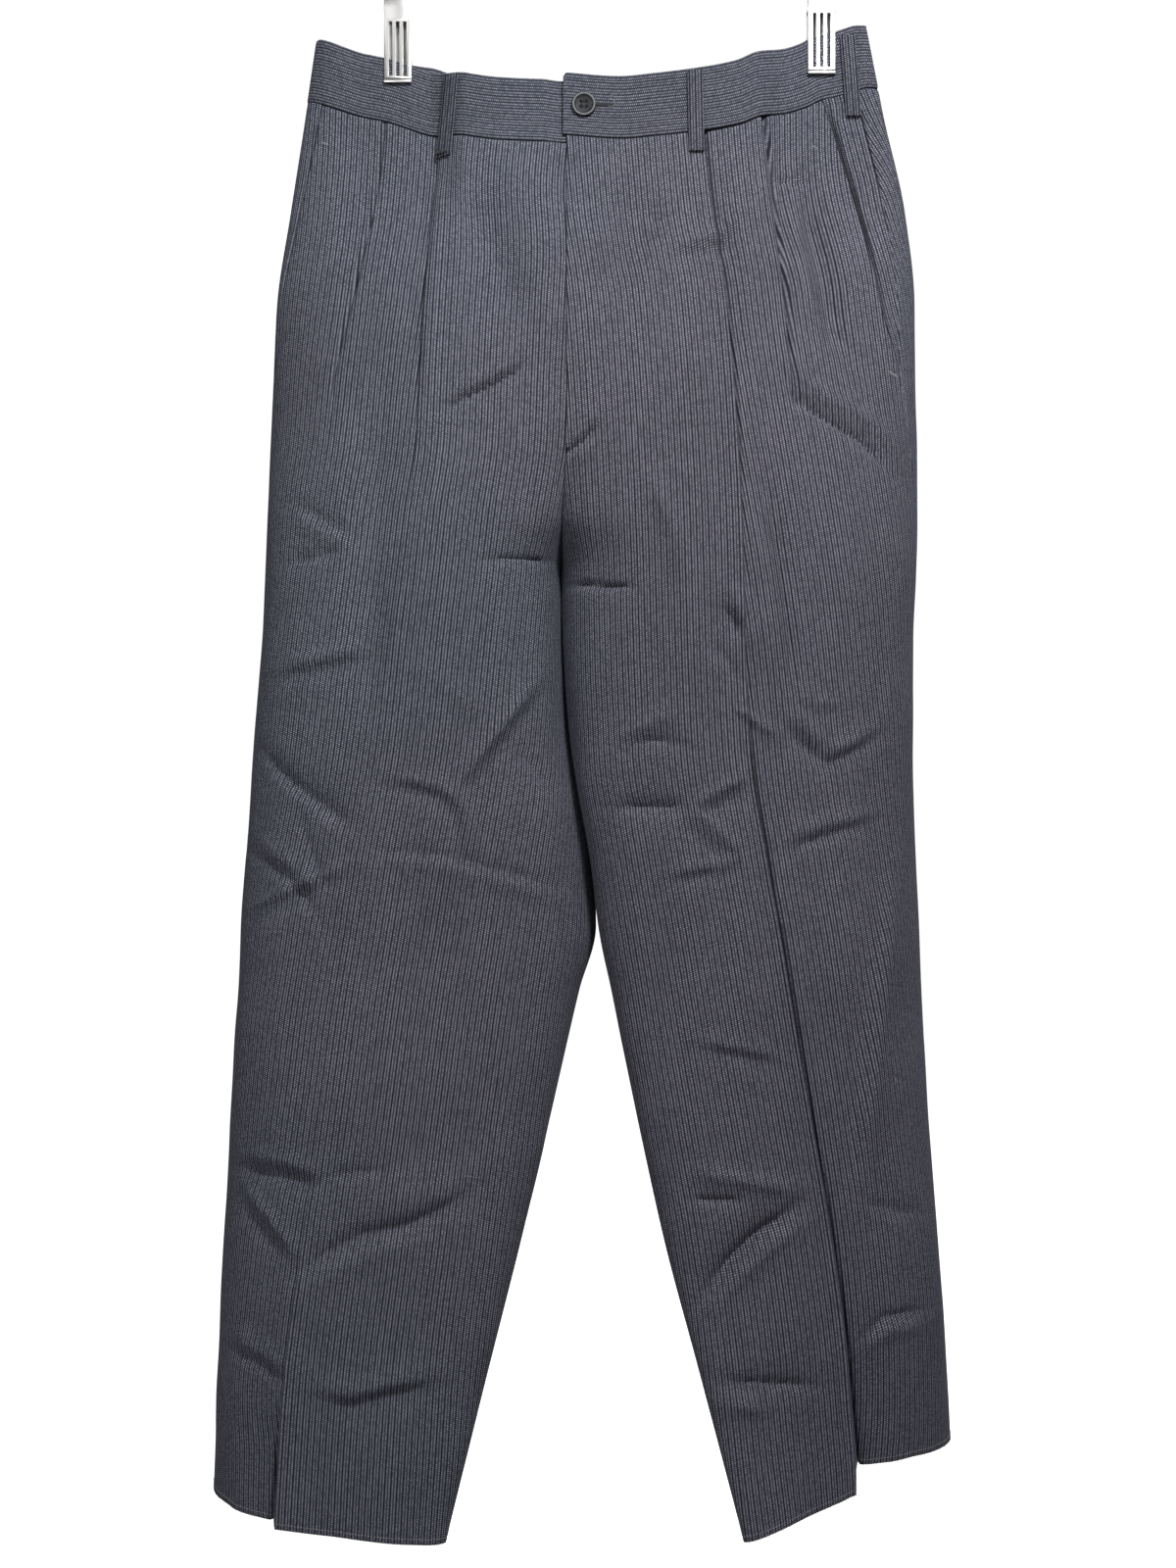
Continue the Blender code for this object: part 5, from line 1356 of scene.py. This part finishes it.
# Each belt loop: the side it is on, its middle at the top and at the bottom, and its face.
LOOPS = (
    ("front_right", RIGHT, -104.0, -109.0, True),
    ("front_left", LEFT, 55.5, 56.5, True),
    ("side_left", LEFT, 157.0, 161.0, True),
    ("side_right", RIGHT, -176.0, -181.0, False),
    ("back_right", RIGHT, -84.0, -85.0, False),
    ("back_left", LEFT, 30.0, 31.0, False),
)


# ---------------------------------------------------------------- settings
class ClothSettings(bpy.types.PropertyGroup):
    """Sizes and colours of the suiting."""

    ground: bpy.props.FloatVectorProperty(
        name="Ground", description="Main colour of the suiting", subtype="COLOR",
        min=0.0, max=1.0, default=(0.058, 0.056, 0.079))
    ground_cool: bpy.props.FloatVectorProperty(
        name="Cool ground", description="Main colour where the cloth turns bluer",
        subtype="COLOR", min=0.0, max=1.0, default=(0.044, 0.057, 0.080))
    dots: bpy.props.FloatVectorProperty(
        name="Picks", description="Colour of the small pale picks", subtype="COLOR",
        min=0.0, max=1.0, default=(0.430, 0.430, 0.505))
    lines: bpy.props.FloatVectorProperty(
        name="Lines", description="Colour of the dark lines", subtype="COLOR",
        min=0.0, max=1.0, default=(0.012, 0.012, 0.021))
    fibre: bpy.props.FloatVectorProperty(
        name="Fibre", description="Colour of the stray fibres", subtype="COLOR",
        min=0.0, max=1.0, default=(0.125, 0.122, 0.140))
    thread: bpy.props.FloatVectorProperty(
        name="Thread", description="Colour of the pale sewing thread", subtype="COLOR",
        min=0.0, max=1.0, default=(0.34, 0.34, 0.37))
    dark_thread: bpy.props.FloatVectorProperty(
        name="Dark thread", description="Colour of the dark sewing thread and the raw edge",
        subtype="COLOR", min=0.0, max=1.0, default=(0.018, 0.018, 0.024))
    stripe: bpy.props.FloatProperty(
        name="Stripe", description="Distance from one dark line to the next",
        unit="LENGTH", default=0.0038, min=0.001, max=0.02)
    pick: bpy.props.FloatProperty(
        name="Pick", description="Distance from one pale pick to the next",
        unit="LENGTH", default=0.00128, min=0.0004, max=0.01)
    relief: bpy.props.FloatProperty(
        name="Relief", description="Depth of the weave", unit="LENGTH",
        default=0.00035, min=0.0, max=0.002)
    line_share: bpy.props.FloatProperty(
        name="Line share", description="Share of a stripe that is the dark line",
        subtype="FACTOR", default=0.24, min=0.02, max=0.6)
    roughness: bpy.props.FloatProperty(
        name="Roughness", description="Roughness of the suiting", subtype="FACTOR",
        default=0.86, min=0.0, max=1.0)
    sheen: bpy.props.FloatProperty(
        name="Sheen", description="Strength of the nap's sheen", subtype="FACTOR",
        default=0.08, min=0.0, max=1.0)


class FittingSettings(bpy.types.PropertyGroup):
    """Finishes of the button and the hanger."""

    resin: bpy.props.FloatVectorProperty(
        name="Button", description="Colour of the button", subtype="COLOR",
        min=0.0, max=1.0, default=(0.016, 0.017, 0.020))
    # The button rim colour is a painted highlight on the rounded rim.
    rim: bpy.props.FloatVectorProperty(
        name="Button rim", description="Colour of the button's worn rim", subtype="COLOR",
        min=0.0, max=1.0, default=(0.22, 0.225, 0.235))
    metal: bpy.props.FloatVectorProperty(
        name="Plating", description="Colour of the hanger's plating", subtype="COLOR",
        min=0.0, max=1.0, default=(0.53, 0.525, 0.515))
    metal_roughness: bpy.props.FloatProperty(
        name="Plating roughness", description="Roughness of the plating", subtype="FACTOR",
        default=0.30, min=0.0, max=1.0)


class StudioSettings(bpy.types.PropertyGroup):
    """Backdrop, light and distance of the camera."""

    backdrop: bpy.props.FloatVectorProperty(
        name="Backdrop", description="Colour of the floor and the wall", subtype="COLOR",
        min=0.0, max=1.0, default=(0.93, 0.93, 0.93))
    key_power: bpy.props.FloatProperty(
        name="Main light", description="Strength of the light above the front, in watts",
        default=13.5, min=0.0, max=500.0)
    fill_power: bpy.props.FloatProperty(
        name="Front light", description="Strength of the light behind the camera, in watts",
        default=8.5, min=0.0, max=500.0)
    back_power: bpy.props.FloatProperty(
        name="Back light", description="Strength of the light above the back, in watts",
        default=14.0, min=0.0, max=500.0)
    glow: bpy.props.FloatProperty(
        name="Backdrop glow", description="Strength of the light that the backdrop gives off",
        subtype="FACTOR", default=0.85, min=0.0, max=2.0)
    sky: bpy.props.FloatProperty(
        name="Room light", description="Strength of the light from all round",
        subtype="FACTOR", default=0.17, min=0.0, max=4.0)
    distance: bpy.props.FloatProperty(
        name="Camera distance", description="From the lens to the middle of the garment",
        unit="LENGTH", default=1.25, min=0.3, max=10.0)


def looks():
    return bpy.context.scene.suiting_look


def fittings():
    return bpy.context.scene.fitting_look


CLOTH_FINISH = {}


def cloth_finish(kind="suiting"):
    if kind not in CLOTH_FINISH:
        look = looks()
        makers = {
            "suiting": lambda: suiting("striped_suiting", look),
            "band": lambda: suiting("striped_suiting_across", look, -0.15, 0.55),
            # The loops' finish is evenly darker by its glow of -0.20: painted shade for the shade
            # they lie in.
            "loop": lambda: suiting("striped_suiting_loops", look, -0.20),
            "thread": lambda: thread_finish("pale_thread", tuple(look.thread)),
            "dark": lambda: thread_finish("dark_thread", tuple(look.dark_thread)),
        }
        CLOTH_FINISH[kind] = makers[kind]()
    return CLOTH_FINISH[kind]


# ---------------------------------------------------------------- operators: cloth
class TROUSERS_OT_front_panels(bpy.types.Operator):
    """Build both fronts with their pleats, creases and wrinkles"""

    bl_idname = "trousers.front_panels"
    bl_label = "Front panels"

    def execute(self, context):
        for leg in LEGS:
            cloth_piece(front_panel(leg, cloth_finish()), f"front_panel_{leg.name}")
        return {"FINISHED"}


class TROUSERS_OT_back_panels(bpy.types.Operator):
    """Build both backs, which meet the fronts at the side seams and the inseams"""

    bl_idname = "trousers.back_panels"
    bl_label = "Back panels"

    def execute(self, context):
        for leg in LEGS:
            cloth_piece(back_panel(leg, cloth_finish()), f"back_panel_{leg.name}")
        return {"FINISHED"}


class TROUSERS_OT_pocket_facings(bpy.types.Operator):
    """Build the cloth that shows inside each slant pocket's mouth"""

    bl_idname = "trousers.pocket_facings"
    bl_label = "Pocket facings"

    def execute(self, context):
        for leg, gape in ((RIGHT, 0.9), (LEFT, 2.6)):
            cloth_piece(pocket_facing(leg, gape, cloth_finish()), f"pocket_facing_{leg.name}")
        return {"FINISHED"}


class TROUSERS_OT_waistband(bpy.types.Operator):
    """Build both halves of the waistband, whose stripes run round the waist"""

    bl_idname = "trousers.waistband"
    bl_label = "Waistband"

    def execute(self, context):
        for leg in LEGS:
            cloth_piece(waistband(leg, cloth_finish("band")), f"waistband_{leg.name}")
        return {"FINISHED"}


class TROUSERS_OT_belt_loops(bpy.types.Operator):
    """Build the six belt loops"""

    bl_idname = "trousers.belt_loops"
    bl_label = "Belt loops"

    def execute(self, context):
        for name, leg, top_x, bottom_x, front in LOOPS:
            piece = belt_loop(f"cloth_loop_{name}", leg, top_x, bottom_x, front,
                              cloth_finish("loop"))
            cloth_piece(piece, f"belt_loop_{name}")
        return {"FINISHED"}


# ---------------------------------------------------------------- sewing
def row_line(made, row, lift):
    """A line of a panel's own grid, lifted off its face."""
    points, normals = made["outside"][row], made["normals"][row]
    return points + normals * lift, normals


def lifted(places, lift):
    """A line through places on the cloth, lifted off its face."""
    return [p + n * lift for p, n in places], [n for _, n in places]


def bar(leg, start, end, band=False, lift=0.25):
    """A short line on the front from one place to another."""
    places = [front_place(leg, between(start[0], end[0], t), between(start[1], end[1], t), band)
              for t in np.linspace(0.0, 1.0, 7)]
    return lifted(places, lift)


# The curl of thread that has come loose at the buttonhole, as x, drop.
LOOSE_THREAD = ((-1.0, -17.0), (1.5, -16.2), (3.4, -18.2), (2.6, -21.0), (0.4, -21.4),
                (0.2, -23.4), (2.0, -24.4))


class TROUSERS_OT_hem_edges(bpy.types.Operator):
    """Lay the overlock thread near each cut hem and the frayed yarns along it"""

    bl_idname = "trousers.hem_edges"
    bl_label = "Hem edges"

    def execute(self, context):
        panels = [MADE[f"{side}_{leg.name}"] for leg in LEGS for side in ("front", "back")]
        stitched("hem_overlock_thread", [row_line(p, -4, 0.16) for p in panels],
                 cloth_finish("thread"))
        stitched("hem_loose_yarn", [row_line(p, -2, 0.1) for p in panels], cloth_finish("dark"))
        return {"FINISHED"}


class TROUSERS_OT_seam_stitches(bpy.types.Operator):
    """Sew the bartacks, the buttonhole and its loose thread, and the loops' ends"""

    bl_idname = "trousers.seam_stitches"
    bl_label = "Seam stitches"

    def execute(self, context):
        pale, dark = cloth_finish("thread"), cloth_finish("dark")
        tacks = [bar(RIGHT, (-189.0, 4.0), (-185.0, 6.5)),
                 bar(LEFT, (178.5, 160.0), (185.0, 163.0)),
                 bar(LEFT, (134.5, 4.0), (137.0, 6.0))]
        stitched("pocket_bartacks", tacks, pale)
        ends = []
        for _, leg, _, bottom_x, front in LOOPS:
            if front:
                drop = float(leg.front_waist(bottom_x)) + LOOP_BELOW - 2.0
                spots = [front_place(leg, bottom_x + o, drop) for o in np.linspace(-4.0, 4.0, 7)]
                ends.append(lifted(spots, LOOP_SEAT + LOOP_WALL + 0.35))
        stitched("dark_stitches", ends, dark)
        hole = [bar(LEFT, (BUTTON_X + 8.5, BUTTON_DROP), (BUTTON_X + 19.0, BUTTON_DROP), True, 0.4)]
        stitched("buttonhole", hole, dark)
        curl = lifted([front_place(LEFT, x, drop, True) for x, drop in LOOSE_THREAD], 1.1)
        stitched("buttonhole_loose_thread", [curl], pale)
        return {"FINISHED"}


class TROUSERS_OT_lint(bpy.types.Operator):
    """Leave the few flecks of lint on the cloth"""

    bl_idname = "trousers.lint"
    bl_label = "Lint"

    def execute(self, context):
        flecks = [bar(RIGHT, (-91.0, 671.5), (-83.0, 673.5)),
                  bar(RIGHT, (-174.0, 880.0), (-172.0, 881.5)),
                  bar(LEFT, (181.0, 613.0), (181.6, 614.6))]
        stitched("lint_flecks", flecks, cloth_finish("thread"))
        return {"FINISHED"}


# ---------------------------------------------------------------- button and hanger
def solid_from(name, mesh_data, finish):
    """Put a bmesh, in millimetres, into the scene as a piece in metres."""
    bmesh.ops.scale(mesh_data, vec=(MM, MM, MM), verts=mesh_data.verts)
    bmesh.ops.recalc_face_normals(mesh_data, faces=mesh_data.faces)
    mesh = bpy.data.meshes.new(name)
    mesh_data.to_mesh(mesh)
    mesh_data.free()
    shade(mesh, 35.0)
    mesh.materials.append(finish)
    return put_in_scene(name, mesh)


def worked_out(piece):
    """The mesh that a piece's modifiers or its curve make."""
    bpy.context.view_layer.update()
    found = piece.evaluated_get(bpy.context.evaluated_depsgraph_get())
    return bpy.data.meshes.new_from_object(found)


def apply_all(piece):
    """Keep what the modifiers make as the piece's own mesh."""
    mesh = worked_out(piece)
    piece.modifiers.clear()
    piece.data = mesh
    return piece


def combine(piece, tool, operation="DIFFERENCE"):
    """Cut the tool out of the piece, or join it on, and take the tool away."""
    modifier = piece.modifiers.new("Combine", "BOOLEAN")
    modifier.operation = operation
    modifier.solver = "EXACT"
    modifier.object = tool
    apply_all(piece)
    bpy.data.objects.remove(tool)


def bevelled(piece, width, segments):
    modifier = piece.modifiers.new("Bevel", "BEVEL")
    modifier.width = width * MM
    modifier.segments = segments
    modifier.limit_method = "ANGLE"
    modifier.angle_limit = math.radians(30.0)
    apply_all(piece)
    shade(piece.data, 32.0)
    return piece


def bar_level(x):
    return BAR_LEVEL + BAR_TILT * x


def rod_mesh(start, end, radius, segments, bevel=0.0):
    start, end = Vector(start), Vector(end)
    axis = end - start
    mesh_data = bmesh.new()
    bmesh.ops.create_cone(mesh_data, cap_ends=True, segments=segments, radius1=radius,
                          radius2=radius, depth=axis.length)
    if bevel:
        caps = [f for f in mesh_data.faces if len(f.verts) > 4]
        rims = {e for f in caps for e in f.edges}
        bmesh.ops.bevel(mesh_data, geom=list(rims), offset=bevel, segments=4, affect="EDGES",
                        profile=0.5)
    turn = axis.to_track_quat("Z", "Y").to_matrix().to_4x4()
    bmesh.ops.transform(mesh_data, matrix=Matrix.Translation((start + end) / 2.0) @ turn,
                        verts=mesh_data.verts)
    return mesh_data


def bar_rod(x_mid, reach, radius, segments, bevel=0.0):
    """A rod along the hanger's bar, on both sides of a place on it."""
    ends = [(x, 0.0, bar_level(x)) for x in (x_mid - reach, x_mid + reach)]
    return rod_mesh(*ends, radius, segments, bevel)


def slab_mesh(outline, x_low, x_high):
    """A y-z outline drawn along x."""
    mesh_data = bmesh.new()
    verts = [mesh_data.verts.new((x_low, y, z)) for y, z in outline]
    face = mesh_data.faces.new(verts)
    made = bmesh.ops.extrude_face_region(mesh_data, geom=[face])
    moved = [v for v in made["geom"] if isinstance(v, bmesh.types.BMVert)]
    bmesh.ops.translate(mesh_data, vec=(x_high - x_low, 0.0, 0.0), verts=moved)
    return mesh_data


BUTTON_RIM = 1.6
HOLE_RADIUS = 1.1
HOLE_OFFSET = 2.3           # from the button's middle to the middle of each hole
TIE_DEPTH = 0.72
TIE_LIFT = 0.22


class TROUSERS_OT_waist_button(bpy.types.Operator):
    """Turn the four-hole button and sew it on"""

    bl_idname = "trousers.waist_button"
    bl_label = "Waist button"

    def execute(self, context):
        low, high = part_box("waist_button")
        depth = low.y / MM
        middle_z = (low.z + high.z) / 2.0 / MM
        floor = BUTTON_RADIUS - BUTTON_RIM
        profile = [(0.0, 0.95), (floor - 1.6, 0.9), (floor - 0.7, 0.72), (floor - 0.1, 0.16),
                   (floor + 0.35, 0.0), (BUTTON_RADIUS - 0.75, 0.02),
                   (BUTTON_RADIUS - 0.3, 0.22), (BUTTON_RADIUS - 0.05, 0.62),
                   (BUTTON_RADIUS, 0.95), (BUTTON_RADIUS - 0.2, 1.45),
                   (BUTTON_RADIUS - 0.8, 2.05), (BUTTON_RADIUS - 2.5, BUTTON_WALL),
                   (0.0, BUTTON_WALL)]
        mesh_data = bmesh.new()
        verts = [mesh_data.verts.new((radius, y, 0.0)) for radius, y in profile]
        edges = [mesh_data.edges.new(pair) for pair in zip(verts, verts[1:])]
        bmesh.ops.spin(mesh_data, geom=verts + edges, cent=(0, 0, 0), axis=(0, 1, 0),
                       angle=2.0 * math.pi, steps=64, use_merge=True)
        bmesh.ops.remove_doubles(mesh_data, verts=mesh_data.verts, dist=0.001)
        bmesh.ops.transform(mesh_data, matrix=Matrix.Translation((BUTTON_X, depth, middle_z)),
                            verts=mesh_data.verts)
        finish = button_finish("polished_resin", fittings())
        button = solid_from("button_four_hole", mesh_data, finish)
        spots = []
        for i in range(4):
            angle = math.pi / 4 + i * math.pi / 2
            spot = (BUTTON_X + HOLE_OFFSET * math.cos(angle),
                    middle_z + HOLE_OFFSET * math.sin(angle))
            spots.append(spot)
            drill = rod_mesh((spot[0], depth - 3.0, spot[1]), (spot[0], depth + 9.0, spot[1]),
                             HOLE_RADIUS, 20)
            combine(button, solid_from("button_drill", drill, finish))
        shade(button.data, 38.0)
        metal_piece(button, "waist_button")
        ties = []
        for pair in (spots[:2], spots[2:]):
            for lift in (-TIE_LIFT, TIE_LIFT):
                ends = [(x, depth + TIE_DEPTH, z + lift) for x, z in pair]
                ties.append((ends, [(0.0, -1.0, 0.0)] * 2))
        stitched("button_thread", ties, cloth_finish("dark"))
        return {"FINISHED"}


# Each clip: its middle and the level of its tips.
CLIPS = (("right", -CLIP_X, -142.4), ("left", CLIP_X, -136.6))
JAW_WALL = 1.6
JAW_ROOM = 0.55             # from the pinched cloth to each jaw
JAW_LIP = 1.1
JAW_SHOULDER = 17.0         # from the bar down to where the jaws close in
SLITS = (-4.7, 0.0, 4.7)
SLIT_HALF = 1.15
BORE_ROOM = 0.3             # from the bar to the wall of its bore


class TROUSERS_OT_hanger_clips(bpy.types.Operator):
    """Build the two slotted clips that grip the waistband"""

    bl_idname = "trousers.hanger_clips"
    bl_label = "Hanger clips"

    def execute(self, context):
        finish = steel_finish("clip_plating", fittings())
        for name, x_mid, tip in CLIPS:
            bar_z = bar_level(x_mid)
            jaw_in = CLIP_PINCH + JAW_ROOM
            jaw_out = jaw_in + JAW_WALL
            shoulder = bar_z - JAW_SHOULDER
            side = [(-5.2, bar_z + 5.4), (-6.4, bar_z + 3.0), (-6.4, shoulder + 3.0),
                    (-jaw_out, shoulder - 4.0), (-jaw_out, tip + 3.0),
                    (-jaw_out - JAW_LIP, tip + 1.6), (-jaw_out - JAW_LIP, tip), (-jaw_in, tip),
                    (-jaw_in, shoulder - 4.0)]
            outline = side + [(-y, z) for y, z in reversed(side)]
            half = CLIP_WIDTH / 2
            clip = slab_mesh(outline, x_mid - half, x_mid + half)
            clip = solid_from(f"clip_{name}", clip, finish)
            bore = bar_rod(x_mid, CLIP_WIDTH, BAR_RADIUS + BORE_ROOM, 40)
            combine(clip, solid_from("clip_bore", bore, finish))
            low, high = tip + 4.6, shoulder - 6.0
            slit = [(-12.0, low), (0.0, low), (0.0, high), (-12.0, high)]
            for offset in SLITS:
                middle = x_mid + offset
                tool = slab_mesh(slit, middle - SLIT_HALF, middle + SLIT_HALF)
                combine(clip, solid_from("clip_slit", tool, finish))
            bevelled(clip, 0.35, 2)
            metal_piece(clip, f"hanger_clip_{name}")
        return {"FINISHED"}


class TROUSERS_OT_hanger(bpy.types.Operator):
    """Build the hanger's bar, and its hook with the sleeve that joins them"""

    bl_idname = "trousers.hanger"
    bl_label = "Hanger"

    def execute(self, context):
        finish = steel_finish("hanger_plating", fittings())
        rod = bar_rod(0.0, BAR_HALF, BAR_RADIUS, 48, 1.2)
        metal_piece(solid_from("bar_round", rod, finish), "hanger_bar")
        metal_piece(self.hook(finish), "hanger_hook")
        return {"FINISHED"}

    def hook(self, finish):
        """A round wire bent over the rail's place, joined to a sleeve on the bar."""
        wire = HOOK_RADIUS + HOOK_WIRE
        centre = -HOOK_RADIUS
        route = [(0.0, BAR_LEVEL + 5.0), (0.0, BAR_LEVEL + 14.0), (0.6, centre - wire - 3.0)]
        for i in range(37):
            angle = math.radians(-78.0 + i * 7.0)
            route.append((wire * math.cos(angle), centre + wire * math.sin(angle)))
        curve = bpy.data.curves.new("hook_path", "CURVE")
        curve.dimensions = "3D"
        spline = curve.splines.new("POLY")
        spline.points.add(len(route) - 1)
        for spot, (x, z) in zip(spline.points, route):
            spot.co = (x * MM, 0.0, z * MM, 1.0)
        curve.bevel_depth = HOOK_WIRE * MM
        curve.bevel_resolution = 6
        curve.use_fill_caps = True
        path = put_in_scene("hook_path", curve)
        mesh_data = bmesh.new()
        mesh_data.from_mesh(worked_out(path))
        bmesh.ops.scale(mesh_data, vec=(1 / MM, 1 / MM, 1 / MM), verts=mesh_data.verts)
        bpy.data.objects.remove(path)
        hook = solid_from("hook_wire", mesh_data, finish)
        low, high = BAR_LEVEL - 5.0, BAR_LEVEL + 7.0
        sleeve = slab_mesh([(-5.0, low), (5.0, low), (5.0, high), (-5.0, high)], -7.0, 7.0)
        sleeve = bevelled(solid_from("hook_sleeve", sleeve, finish), 1.1, 4)
        combine(hook, sleeve, "UNION")
        bore = bar_rod(0.0, 20.0, BAR_RADIUS + BORE_ROOM, 40)
        combine(hook, solid_from("hook_bore", bore, finish))
        shade(hook.data, 35.0)
        return hook


# ---------------------------------------------------------------- stage
VIEW_HEIGHT = 1.04          # metres of the garment's plane that the camera sees
VIEW_MIDDLE = (-0.0143, -0.6055)
SENSOR = 36.0


# Each light: its place and its target, the setting of its power, its width and its height.
LIGHTS = (
    ("main_light", (0.31, -0.90, 0.38), (-0.07, 0.0, -0.42), "key_power", 0.22, 0.18),
    ("front_light", (-0.75, -1.8, 0.0), (-0.1, 0.0, -0.6), "fill_power", 0.8, 0.8),
    ("back_light", (0.3, 1.1, 0.5), (0.0, 0.1, -0.5), "back_power", 0.9, 0.6),
)


def area_light(name, place, target, power, width, height):
    """A soft rectangular light at a place, turned to its target."""
    lamp = bpy.data.lights.new(name, "AREA")
    lamp.shape = "RECTANGLE"
    lamp.size, lamp.size_y = width, height
    lamp.energy = power
    made = put_in_scene(name, lamp)
    made.location = place
    made.rotation_euler = (Vector(target) - Vector(place)).to_track_quat("-Z", "Y").to_euler()


def cove_mesh(floor, wall, bend, top, sides, finish):
    """A round floor that bends up into a wall, in metres."""
    profile = [(wall - bend, floor)]
    for i in range(1, 13):
        angle = math.radians(i * 7.5)
        profile.append((wall - bend + bend * math.sin(angle),
                        floor + bend - bend * math.cos(angle)))
    profile.append((wall, top))
    turns = [i * 2.0 * math.pi / sides for i in range(sides)]
    verts = [(r * math.cos(t), r * math.sin(t), z) for r, z in profile for t in turns]
    faces = [tuple(range(sides))]
    for ring in range(len(profile) - 1):
        for i in range(sides):
            low, after = ring * sides + i, ring * sides + (i + 1) % sides
            faces.append((low, low + sides, after + sides, after))
    mesh = bpy.data.meshes.new("studio_cove")
    mesh.from_pydata(verts, [], faces)
    mesh.polygons.foreach_set("use_smooth", [True] * len(faces))
    mesh.materials.append(finish)
    return mesh


class TROUSERS_OT_stage(bpy.types.Operator):
    """Set up the pale backdrop, the soft light and the camera"""

    bl_idname = "trousers.stage"
    bl_label = "Stage"

    def execute(self, context):
        studio = context.scene.studio_look
        backdrop = Finish("pale_backdrop", tuple(studio.backdrop), 0.95, 0.0,
                          Specular_IOR_Level=0.05, Emission_Color=(1.0, 1.0, 1.0, 1.0),
                          Emission_Strength=studio.glow)
        spread = backdrop.noise(backdrop.place(), 3.0, 2.0)
        dim = tuple(c * 0.985 for c in studio.backdrop)
        backdrop.set("Base Color", backdrop.mix(spread, tuple(studio.backdrop), dim))
        cove = cove_mesh(floor=-1.16, wall=4.4, bend=0.9, top=4.5, sides=64,
                         finish=backdrop.material)
        cove = put_in_scene("studio_cove", cove)
        cove.visible_diffuse = False
        cove.visible_glossy = False
        cove.visible_shadow = False
        for name, place, target, power, width, height in LIGHTS:
            area_light(name, place, target, getattr(studio, power), width, height)
        world = bpy.data.worlds.new("room")
        world.use_nodes = True
        room = world.node_tree.nodes["Background"]
        room.inputs["Color"].default_value = (1.0, 1.0, 1.0, 1.0)
        room.inputs["Strength"].default_value = studio.sky
        context.scene.world = world
        context.scene.view_settings.view_transform = "Standard"
        lens = bpy.data.cameras.new("camera")
        lens.sensor_width = SENSOR
        lens.sensor_fit = "AUTO"
        lens.lens = SENSOR * studio.distance / VIEW_HEIGHT
        camera = put_in_scene("camera", lens)
        camera.location = (VIEW_MIDDLE[0], -studio.distance, VIEW_MIDDLE[1])
        camera.rotation_euler = (math.radians(90.0), 0.0, 0.0)
        context.scene.camera = camera
        return {"FINISHED"}


OPERATORS = (
    TROUSERS_OT_stage, TROUSERS_OT_front_panels, TROUSERS_OT_back_panels,
    TROUSERS_OT_pocket_facings, TROUSERS_OT_waistband, TROUSERS_OT_belt_loops,
    TROUSERS_OT_hem_edges, TROUSERS_OT_seam_stitches, TROUSERS_OT_lint,
    TROUSERS_OT_waist_button, TROUSERS_OT_hanger, TROUSERS_OT_hanger_clips,
)


class TROUSERS_PT_panel(bpy.types.Panel):
    """The trousers' pieces and settings"""

    bl_idname = "TROUSERS_PT_panel"
    bl_label = "Pleated trousers"
    bl_space_type = "VIEW_3D"
    bl_region_type = "UI"
    bl_category = "Trousers"

    def draw(self, context):
        for group in (context.scene.suiting_look, context.scene.fitting_look,
                      context.scene.studio_look):
            box = self.layout.box()
            for name in group.__annotations__:
                box.prop(group, name)
        for operator in OPERATORS:
            self.layout.operator(operator.bl_idname)


CLASSES = (ClothSettings, FittingSettings, StudioSettings, *OPERATORS, TROUSERS_PT_panel)


def register():
    for kind in CLASSES:
        bpy.utils.register_class(kind)
    bpy.types.Scene.suiting_look = bpy.props.PointerProperty(type=ClothSettings)
    bpy.types.Scene.fitting_look = bpy.props.PointerProperty(type=FittingSettings)
    bpy.types.Scene.studio_look = bpy.props.PointerProperty(type=StudioSettings)


def unregister():
    for name in ("studio_look", "fitting_look", "suiting_look"):
        delattr(bpy.types.Scene, name)
    for kind in reversed(CLASSES):
        bpy.utils.unregister_class(kind)


def main():
    register()
    for operator in OPERATORS:
        group, name = operator.bl_idname.split(".")
        getattr(getattr(bpy.ops, group), name)()


if __name__ == "__main__":
    main()
